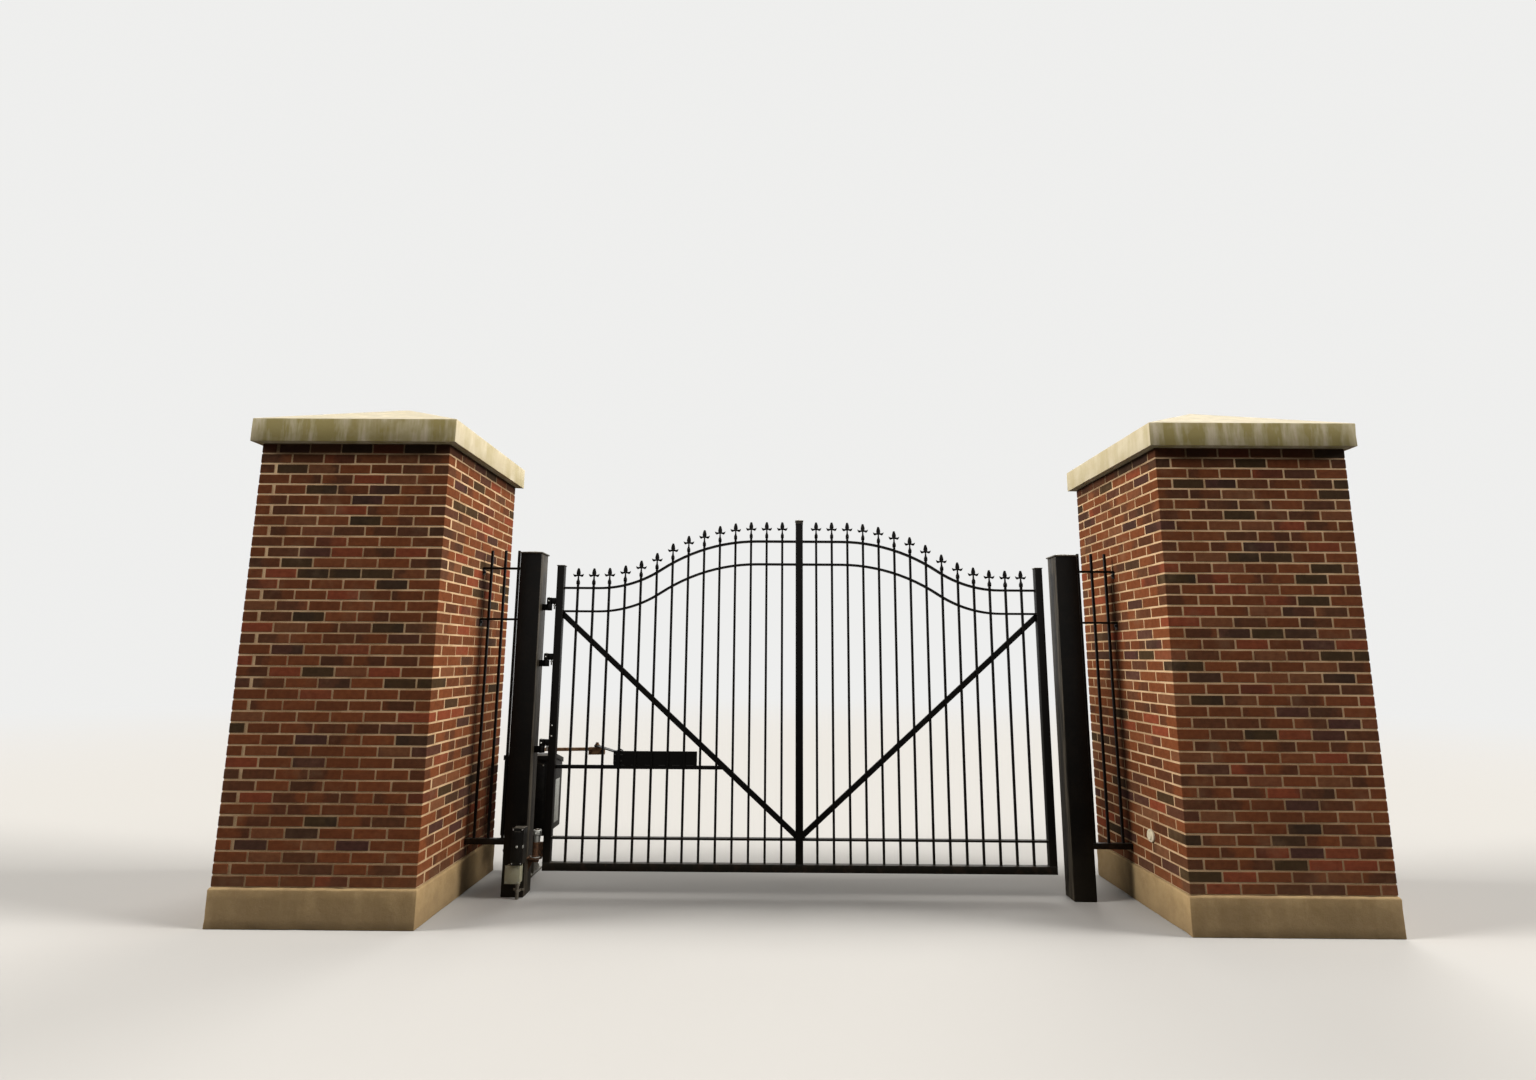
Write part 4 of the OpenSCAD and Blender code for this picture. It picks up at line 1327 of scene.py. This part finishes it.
@dataclass
class Hinges:
    """The three pin hinges and the heavy foot hinge."""

    rim: float = 0.0012
    seam: float = 0.003
    foot_seam: float = 0.0036
    shelf_seam: float = 0.0039
    gusset_seam: float = 0.0035
    gusset_half: float = 0.006
    cap_radius: float = 0.0135
    nipple_radius: float = 0.0042
    stop_radius: float = 0.0052
    stop_long: float = 0.036
    stop_inset: float = 0.014
    ring_inner: float = 0.0325
    ring_outer: float = 0.0385
    ring_thick: float = 0.0055
    play: float = 0.0004
    shelf_thick: float = 0.012
    washer_radius: float = 0.028
    washer_thick: float = 0.0035

    def build(self) -> None:
        """Builds and dresses the hinges."""
        for node, finish, body in (
            ("hinge_brackets", Finishes.GATE, Body.GATEWAY),
            ("hinge_knuckles", Finishes.GATE, Body.LEAF),
            ("foot_bracket", Finishes.RUST, Body.GATEWAY),
            ("foot_barrel", Finishes.RUST, Body.LEAF),
            ("foot_collar", Finishes.ZINC, Body.GATEWAY),
        ):
            dress(node, "_steel", finish, body, self.rim, 2)
        post_x = span("hinge_post")[1].x
        self.stile_x = span("hinge_stile")[0].x
        self.welds("hinge_brackets", post_x, self.seam, Finishes.WELD, Body.GATEWAY)
        self.welds("hinge_knuckles", self.stile_x, self.seam, Finishes.WELD, Body.LEAF)
        self.small_pieces()
        self.foot_pieces()
        self.welds("foot_barrel", self.stile_x, self.foot_seam, Finishes.RUST, Body.LEAF)
        self.shelf_welds()

    def welds(self, node: str, face: float, seam: float, finish: Finish, body: Body) -> None:
        """Welds the tabs of a CAD node to the post or to the stile.

        Args:
            node: Name of the node.
            face: Place on X of the face that they end on.
            seam: Radius of the beads.
            finish: Finish of the beads.
            body: The body that the node rides on.
        """
        shape = Shape()
        shape.weld_ends(node, Axis.X, face, seam)
        shape.finish(node + "_welds", finish, body)

    def small_pieces(self) -> None:
        """Adds dust caps, grease nipples and the bolt under each leaf tab."""
        nut_top, nut_foot, nut_radius = 0.006, 0.014, 0.0095
        shape = Shape()
        low, high = span("hinge_knuckles")
        axis_x = low.x + (high.y - low.y) / 2
        middle_y = (low.y + high.y) / 2
        for near, far in ends("hinge_knuckles", Axis.X, self.stile_x):
            shape.dome((axis_x, middle_y, far.z), UP, self.cap_radius, 0.005, 16)
            front = Vector((axis_x, low.y, (near.z + far.z) / 2))
            neck = self.nipple_radius * 1.3
            shape.nipple(front, neck, 0.006, self.nipple_radius, 0.007)
            under = Vector((near.x - self.stop_inset, middle_y, near.z))
            end = under - UP * self.stop_long
            shape.rod(under, end, self.stop_radius, 12, width=0.0008)
            shape.rod(under - UP * nut_top, under - UP * nut_foot, nut_radius, 6)
        shape.finish("hinge_greasers", Finishes.ZINC, Body.LEAF)

    def foot_pieces(self) -> None:
        """Adds the thrust ring, nut washer, plug and grease nipple of the foot hinge."""
        bevel, edge, lip, nipple_drop = 0.0015, 0.004, 0.003, 0.017
        shape = Shape()
        low, high = span("foot_collar")
        x, y = (low.x + high.x) / 2, (low.y + high.y) / 2
        shelf = span("foot_barrel")[0].z - self.play
        inner, outer, thick = self.ring_inner, self.ring_outer, self.ring_thick
        ring = (
            (inner, 0.0), (outer, 0.0), (outer, edge), (outer - bevel, thick),
            (inner + bevel, thick), (inner, edge), (inner, 0.0),
        )
        shape.revolve(ring, Matrix.Translation((x, y, shelf)), 40)
        under = shelf - self.shelf_thick
        foot = (x, y, under - self.washer_thick)
        shape.rod((x, y, under), foot, self.washer_radius, 32, width=0.0008)
        shape.dome((x, y, high.z + lip), UP, 0.009, lip, 16)
        shape.nipple(Vector((x, low.y, high.z - nipple_drop)), 0.006, 0.007, 0.0045, 0.008)
        shape.finish("foot_hinge_rings", Finishes.ZINC)

    def shelf_welds(self) -> None:
        """Welds the shelf of the foot hinge and its gusset to the post."""
        shape = Shape()
        low, high = span("foot_bracket")
        shelf = span("foot_barrel")[0].z - self.play
        middle = sum(corner.y for corner in span("foot_collar")) / 2
        shape.bead((low.x, low.y, shelf), (low.x, high.y, shelf), self.shelf_seam, 5)
        for y in (middle - self.gusset_half, middle + self.gusset_half):
            top = (low.x, y, shelf - self.shelf_thick)
            shape.bead((low.x, y, low.z), top, self.gusset_seam, 7)
        shape.finish("foot_bracket_welds", Finishes.RUST)


@dataclass
class Operator:
    """The arm operator: pedestal, cabinet, lid, crank, link and leaf bracket."""

    corner: float = 0.008
    lid_round: float = 0.005
    pedestal_round: float = 0.003
    edge: float = 0.0012
    reach: Point = (0.530, 0.076, 0.0)
    panel_inset: float = 0.024
    panel_stand: float = 0.0028
    panel_lip: float = 0.004
    panel_round: float = 0.0018
    louvres: int = 6
    louvre_pitch: float = 0.018
    louvre_half: float = 0.06
    louvre_lean: float = -24.0
    base_thick: float = 0.012
    screw: float = 0.0055
    screw_rise: float = 0.0035
    screw_inset: float = 0.036
    hub_radius: float = 0.036
    hub_middle: float = 0.8934
    elbow_bolts: tuple[float, float] = (0.042, 0.025)
    elbow_bolt_rise: float = 0.024

    def build(self) -> None:
        """Builds and dresses the operator."""
        for node, width, steps, finish, body in (
            ("operator_pedestal", self.pedestal_round, 2, Finishes.OPERATOR, Body.GATEWAY),
            ("operator_cabinet", self.corner, 4, Finishes.OPERATOR, Body.GATEWAY),
            ("operator_lid", self.lid_round, 3, Finishes.OPERATOR, Body.GATEWAY),
            ("crank_shaft", self.edge, 1, Finishes.STEEL, Body.CRANK),
            ("crank_arm", self.edge, 1, Finishes.PRIMER, Body.CRANK),
            ("link_arm", self.edge, 1, Finishes.GATE, Body.LINK),
            ("link_bracket", self.edge, 1, Finishes.GATE, Body.LEAF),
        ):
            dress(node, "_steel", finish, body, width, steps)
        self.low, self.high = span("operator_cabinet")
        self.panels()
        self.louvre_rows()
        self.base_bolts()
        self.cabinet_screws()
        self.side_plate()
        self.crank_bolts()
        self.bracket_bolts()

    def panels(self) -> None:
        """Makes the two screwed panels, in front and behind."""
        shape = Shape()
        low, high = self.low, self.high
        inset, stand, lip = self.panel_inset, self.panel_stand, self.panel_lip
        lid_gap, slope_share = 0.03, 0.86
        under_lid = span("operator_lid")[0].z - lid_gap
        slope_foot = low.z + (high.z - low.z) * slope_share
        for front, back, top in (
            (low.y - stand, low.y + lip, high.z - inset),
            (high.y - lip, high.y + stand, min(under_lid, slope_foot)),
        ):
            shape.block(
                (low.x + inset, front, low.z + inset), (high.x - inset, back, top),
                self.panel_round,
            )
        shape.finish("cabinet_panels", Finishes.OPERATOR)

    def louvre_rows(self) -> None:
        """Makes a row of louvres low on the outer side of the cabinet."""
        foot, stand, tall = 0.05, 0.004, 0.008
        shape = Shape()
        turn = Matrix.Rotation(math.radians(self.louvre_lean), 3, "Y")
        x, y = self.low.x, (self.low.y + self.high.y) / 2
        for i in range(self.louvres):
            z = self.low.z + foot + i * self.louvre_pitch
            shape.block(
                (x - stand, y - self.louvre_half, z),
                (x + stand, y + self.louvre_half, z + tall), 0.0025, 2, turn,
            )
        shape.finish("cabinet_louvres", Finishes.OPERATOR)

    def base_bolts(self) -> None:
        """Bolts the pedestal's foot plate down, and welds the pedestal to it."""
        in_x, in_y, head, stud_foot, stud_top = 0.024, 0.032, 0.012, 0.01, 0.026
        low, high = span("operator_pedestal")
        floor = self.base_thick
        shape = Shape()
        for x in (low.x + in_x, high.x - in_x):
            for y in (low.y + in_y, high.y - in_y):
                shape.bolt((x, y, floor), UP, head)
                top = (x, y, floor + stud_top)
                shape.rod((x, y, floor + stud_foot), top, head / 2, 16, width=0.0008)
        shape.finish("pedestal_anchors", Finishes.ZINC)
        shape = Shape()
        half = (self.high.x - self.low.x) / 6
        corner = Vector((half, half, 0.0))
        middle = (low + high) / 2
        foot = Vector((middle.x, middle.y, floor))
        shape.weld_round(foot - corner, foot + corner, Axis.Z, 0.004)
        shape.finish("pedestal_weld", Finishes.WELD)

    def cabinet_screws(self) -> None:
        """Screws the lid and the panels down, and sets the lock in the side."""
        seat, lid_screws, back_top, back_rise = 0.017, (0.03, 0.13), 0.38, 0.002
        shape = Shape()
        low, high, inset = self.low, self.high, self.screw_inset
        lid_low, lid_high = span("operator_lid")
        for face, out in ((lid_low.x, -RIGHT), (lid_high.x, RIGHT)):
            for in_y in lid_screws:
                foot = (face, low.y + in_y, high.z + seat)
                shape.dome(foot, out, self.screw, self.screw_rise)
        for x in (low.x + inset, high.x - inset):
            for z in (low.z + inset, high.z - inset):
                foot = (x, low.y - self.panel_stand, z)
                shape.dome(foot, FRONT, self.screw, self.screw_rise)
            for z in (low.z + inset, low.z + back_top):
                foot = (x, high.y + self.panel_stand, z)
                shape.dome(foot, BACK, self.screw, back_rise)
        self.lock(shape)
        shape.finish("cabinet_screws_and_lock", Finishes.ZINC)

    def lock(self, shape: Shape) -> None:
        """Adds the lock's collar and plug, with the keyway on the plug.

        Args:
            shape: The shape that it is added to.
        """
        in_y, drop = 0.08, 0.075
        lock = Vector((self.high.x, self.low.y + in_y, self.high.z - drop))
        shape.rod(lock, lock + RIGHT * 0.004, 0.014, 28, width=0.001)
        shape.rod(lock, lock + RIGHT * 0.0075, 0.0095, 24, width=0.0012)
        shape.block(
            lock + Vector((0.0065, -0.0012, -0.006)), lock + Vector((0.0082, 0.0012, 0.006))
        )

    def side_plate(self) -> None:
        """Screws a bright zinc plate on the side of the cabinet beside the leaf; its paleness is a
        painted highlight where that side catches the light.
        """
        thick, wide, tall, foot, in_y = 0.0022, 0.103, 0.312, 0.048, 0.21
        bite, screw_y, screw_z = 0.001, 0.011, 0.013
        shape = Shape()
        x, front = self.high.x, self.low.y + in_y
        low = Vector((x - bite, front, self.low.z + foot))
        high = Vector((x + thick, front + wide, self.low.z + foot + tall))
        # The bright plate stands in for a painted highlight on the cabinet's side.
        shape.block(low, high, 0.0009)
        for y in (low.y + screw_y, high.y - screw_y):
            for z in (low.z + screw_z, (low.z + high.z) / 2, high.z - screw_z):
                shape.dome((high.x, y, z), RIGHT, 0.0045, 0.0024)
        shape.finish("cabinet_side_highlight_plate", Finishes.ZINC)

    def crank_bolts(self) -> None:
        """Adds the shaft's end bolt, the hub's pinch bolt and the bolts of the elbow block."""
        end_size, pinch_size, block_size, pin_size, bite = 0.0125, 0.0095, 0.0095, 0.0115, 0.001
        shape = Shape()
        low, high = span("crank_shaft")
        shaft = (low + high) / 2
        shape.bolt((shaft.x, shaft.y, high.z), UP, end_size)
        low, high = span("crank_arm")
        hub_front = shaft.y - self.hub_radius + bite
        shape.bolt((shaft.x, hub_front, self.hub_middle), FRONT, pinch_size)
        elbow = shaft + Vector(self.reach)
        turn = Matrix.Rotation(math.atan2(self.reach[1], self.reach[0]), 3, "Z")
        half_long, half_wide = self.elbow_bolts
        for along in (-half_long, half_long):
            for out in (-1, 1):
                foot = turn @ Vector((along, half_wide * out, 0.0))
                z = low.z + self.elbow_bolt_rise
                foot = (elbow.x + foot.x, elbow.y + foot.y, z)
                shape.bolt(foot, turn @ (BACK * out), block_size)
        shape.bolt((elbow.x, elbow.y, high.z), UP, pin_size, washer=False)
        shape.finish("crank_bolts", Finishes.RUST, Body.CRANK)

    def bracket_bolts(self) -> None:
        """Bolts the leaf bracket to its plate and clips its pin."""
        in_x, low_z, high_z, base_thick, stile_half = 0.014, 0.018, 0.06, 0.008, 0.0255
        clip_foot, clip_top = 0.0045, 0.002
        shape = Shape()
        low, high = span("link_bracket")
        front, back = span("arm_plate")[0].y, low.y + base_thick
        for x in (low.x + in_x, high.x - in_x):
            shape.bolt((x, back, low.z + low_z), BACK, 0.0088)
            for up in (low_z, high_z):
                shape.dome((x, front, low.z + up), FRONT, 0.009, 0.0045, 14)
        x, y = (low.x + high.x) / 2, span("hinge_stile")[0].y + stile_half + self.reach[1]
        shape.rod((x, y, high.z - clip_foot), (x, y, high.z - clip_top), 0.0135, 24)
        shape.dome((x, y, high.z), UP, 0.0085, 0.002, 16)
        shape.finish("bracket_bolts", Finishes.WELD, Body.LEAF)


@dataclass
class Boxes:
    """Control box, junction box, conduit and beam reflector."""

    corner: float = 0.0035
    screw: float = 0.0042
    screw_inset: float = 0.0105
    junction_cover: float = 0.114
    detail_round: float = 0.0015
    panel_stand: float = 0.002
    lock_height: float = 0.117
    clip_foot: float = 0.044
    clip_top: float = 0.060
    clip_radius: float = 0.0128
    flange_round: float = 0.0012
    lens_radius: float = 0.0275
    lens_rings: int = 5

    def build(self) -> None:
        """Builds and dresses the boxes and the reflector."""
        dress("control_box", "_shell", Finishes.BLACK_PLASTIC, width=self.corner, steps=2)
        dress("junction_box", "_shell", Finishes.GREY_PLASTIC, width=self.corner, steps=2)
        dress("conduit", "_shell", Finishes.DULL_ZINC, steps=2)
        self.cover_screws()
        self.control_details()
        self.conduit_clip()
        self.reflector()

    def cover_screws(self) -> None:
        """Puts a screw in each corner of the two covers."""
        cover_top = span("junction_box")[0].z + self.junction_cover
        for node, finish, top in (
            ("control_box", Finishes.STEEL, span("control_box")[1].z),
            ("junction_box", Finishes.ZINC, cover_top),
        ):
            shape = Shape()
            low, high = span(node)
            inset = self.screw_inset
            for x in (low.x + inset, high.x - inset):
                for z in (low.z + inset, top - inset):
                    shape.dome((x, low.y, z), FRONT, self.screw, 0.0022)
            shape.finish(node + "_screws", finish)

    def control_details(self) -> None:
        """Adds the raised panel, the key lock and the catch of the control box's cover."""
        in_x, in_z, lock_radius, lock_stand = 0.017, 0.022, 0.0078, 0.004
        catch_low, catch_high = Vector((0.004, 0.0025, 0.009)), Vector((0.0015, 0.014, 0.009))
        low, high = span("control_box")
        face, stand = low.y, self.panel_stand
        shape = Shape()
        shape.block(
            (low.x + in_x, face - stand, low.z + in_z),
            (high.x - in_x, face + stand, high.z - in_z), self.detail_round,
        )
        shape.finish("control_box_panel", Finishes.BLACK_PLASTIC)
        shape = Shape()
        lock = Vector(((low.x + high.x) / 2, face - stand, low.z + self.lock_height))
        shape.rod(lock, lock + FRONT * lock_stand, lock_radius, 24, width=0.0012)
        catch = Vector((high.x, face, low.z + self.lock_height))
        shape.block(catch - catch_low, catch + catch_high, self.detail_round)
        shape.finish("control_box_lock", Finishes.ZINC)

    def conduit_clip(self) -> None:
        """Clips the conduit to the post and adds the lock nut at the box."""
        half_wall, ear_out, ear_half, ear_thick, bite = 0.002, 0.024, 0.012, 0.003, 0.001
        screw_out, nut_radius, nut_top, nut_foot = 0.028, 0.0185, 0.004, 0.012
        low, high = span("conduit")
        x, y = (low.x + high.x) / 2, (low.y + high.y) / 2
        post_y = span("hinge_post")[0].y
        foot, top = self.clip_foot, self.clip_top
        shape = Shape()
        shape.rod((x, y, foot), (x, y, top), self.clip_radius, 28, width=0.001)
        for side in (-1, 1):
            wall = x + side * self.clip_radius
            shape.block((wall - half_wall, y, foot), (wall + half_wall, post_y, top))
            ear = x + side * ear_out
            shape.block(
                (ear - ear_half, post_y - ear_thick, foot), (ear + ear_half, post_y + bite, top),
                0.0008, 1,
            )
            head = (x + side * screw_out, post_y - ear_thick, (foot + top) / 2)
            shape.dome(head, FRONT, 0.004, 0.003)
        nut = (x, y, high.z - nut_top)
        shape.rod(nut, (x, y, high.z - nut_foot), nut_radius, 6, width=0.0008)
        shape.finish("conduit_clip", Finishes.DULL_ZINC)

    def reflector(self) -> None:
        """Turns the reflector with its flange, ribbed lens and two screws."""
        low, high = span("beam_reflector")
        radius, lens = (high.z - low.z) / 2, self.lens_radius
        tall = high.x - low.x
        profile = [
            (0.0, 0.0), (radius, 0.0), (radius, tall * 0.42),
            (radius - self.flange_round, tall * 0.5), (lens + 0.003, tall * 0.55),
            (lens + 0.001, tall * 0.45), (lens, tall * 0.5),
        ]
        groove, fall = 0.0018, 0.0012
        for i in range(1, self.lens_rings):
            out, odd = lens * (1 - i / self.lens_rings), i % 2
            profile.append((out + groove, tall * (0.98 - 0.05 * odd) - fall / i))
            profile.append((out, tall * (0.94 + 0.05 * odd) - fall / i))
        profile.append((0.0, tall * 0.98))
        centre = Vector((high.x, (low.y + high.y) / 2, (low.z + high.z) / 2))
        shape = Shape()
        shape.revolve(profile, Matrix.Translation(centre) @ turned_to(-RIGHT), 48)
        shape.finish("beam_reflector_lens", Finishes.WHITE_PLASTIC, replaces=["beam_reflector"])
        shape = Shape()
        for side in (-1, 1):
            foot = centre + Vector((-tall * 0.52, 0, side * (radius + lens) / 2))
            shape.dome(foot, -RIGHT, 0.0035, 0.0024)
        shape.finish("reflector_screws", Finishes.ZINC)


@dataclass(frozen=True)
class Lamp:
    """One very soft far lamp.

    The way to it is a direction from the object, its power is in watts on a square
    metre, and its width is the angle in degrees that it fills.
    """

    name: str
    towards: Point
    power: float
    width: float
    tint: Colour = (1.0, 0.965, 0.91)

    def hang(self) -> None:
        """Hangs the lamp in the scene."""
        data = bpy.data.lights.new(self.name, "SUN")
        data.energy = self.power
        data.angle = math.radians(self.width)
        data.color = self.tint
        turn = Vector(self.towards).to_track_quat("Z", "Y")
        put(self.name, data).rotation_euler = turn.to_euler()


@dataclass
class Studio:
    """Floor, background, lamps and camera."""

    eye: Point = (-0.189, -5.22475, 1.589)
    yaw: float = 0.30
    pitch: float = 9.11
    roll: float = 0.37
    lens: float = 17.13
    sensor: float = 36.0
    sight: float = 300.0
    floor_reach: float = 90.0
    fade_start: float = 7.0
    fade_end: float = 26.0
    pale: Colour = (0.86, 0.86, 0.85)
    ground: Colour = (0.47, 0.465, 0.455)
    bounce: Colour = (0.11, 0.105, 0.10)
    sky: float = 0.085
    sky_tint: Colour = (1.0, 0.98, 0.95)
    lamps: tuple[Lamp, ...] = (
        Lamp("lamp_right", (0.87, -0.09, 0.46), 4.5, 22.0),
        Lamp("lamp_left", (-0.87, -0.09, 0.46), 4.3, 22.0),
        Lamp("lamp_street", (0.05, -0.52, 0.85), 0.35, 34.0),
        Lamp("lamp_yard", (0.25, 0.62, 0.74), 1.3, 34.0),
    )

    def build(self) -> None:
        """Sets the stage, the light and the camera."""
        self.floor()
        self.background()
        for lamp in self.lamps:
            lamp.hang()
        self.camera()
        bpy.context.scene.view_settings.view_transform = "Standard"

    def floor(self) -> None:
        """Makes the plain pale floor, which reflects less light than it shows."""
        mesh = bmesh.new()
        bmesh.ops.create_grid(mesh, x_segments=1, y_segments=1, size=self.floor_reach)
        data = bpy.data.meshes.new("studio_floor")
        mesh.to_mesh(data)
        mesh.free()
        paint = Paint("studio_floor")
        shader = paint.shader.inputs
        seen = paint.node("LightPath").outputs["Is Camera Ray"]
        paint.feed(shader["Base Color"], paint.mix(seen, self.bounce, self.ground))
        shader["Roughness"].default_value = 0.95
        shader["Specular IOR Level"].default_value = 0.1
        paint.fade(self.fade_start, self.fade_end, self.pale)
        data.materials.append(paint.material)
        floor = put("studio_floor", data)

    def background(self) -> None:
        """Makes the world: soft light, and a pale background where it is seen."""
        world = bpy.data.worlds.new("studio")
        bpy.context.scene.world = world
        graph = Graph(world)
        rays = graph.node("LightPath").outputs
        share = graph.count("MAXIMUM", rays["Is Camera Ray"], rays["Is Glossy Ray"])
        share = graph.count("MAXIMUM", share, rays["Is Transmission Ray"])
        light = graph.node("Background", Color=self.sky_tint, Strength=self.sky)
        seen = graph.node("Background", Color=self.pale, Strength=1.0)
        blend = graph.node("MixShader", share, light.outputs[0], seen.outputs[0])
        graph.node("OutputWorld", Surface=blend.outputs["Shader"])

    def camera(self) -> None:
        """Puts the camera where the photograph was taken from."""
        data = bpy.data.cameras.new("street_camera")
        data.lens = self.lens
        data.sensor_fit = "HORIZONTAL"
        data.sensor_width = self.sensor
        data.clip_end = self.sight
        yaw, pitch, roll = (math.radians(x) for x in (self.yaw, self.pitch, self.roll))
        ahead = Vector((-math.sin(yaw), math.cos(yaw), 0.0))
        right = Vector((math.cos(yaw), math.sin(yaw), 0.0))
        look = ahead * math.cos(pitch) + UP * math.sin(pitch)
        lift = UP * math.cos(pitch) - ahead * math.sin(pitch)
        side = right * math.cos(roll) + lift * math.sin(roll)
        top = lift * math.cos(roll) - right * math.sin(roll)
        turn = Matrix((side, top, -look)).transposed()
        camera = put("street_camera", data)
        camera.matrix_world = Matrix.Translation(self.eye) @ turn.to_4x4()
        bpy.context.scene.camera = camera


def main() -> None:
    """Builds every sub-assembly in order."""
    logging.basicConfig(level=logging.INFO, format="%(name)s: %(message)s")
    Studio().build()
    for side in Side:
        Pier(side).build()
    Posts().build()
    Leaf().build()
    Hinges().build()
    Operator().build()
    Boxes().build()


if __name__ == "__main__":
    main()
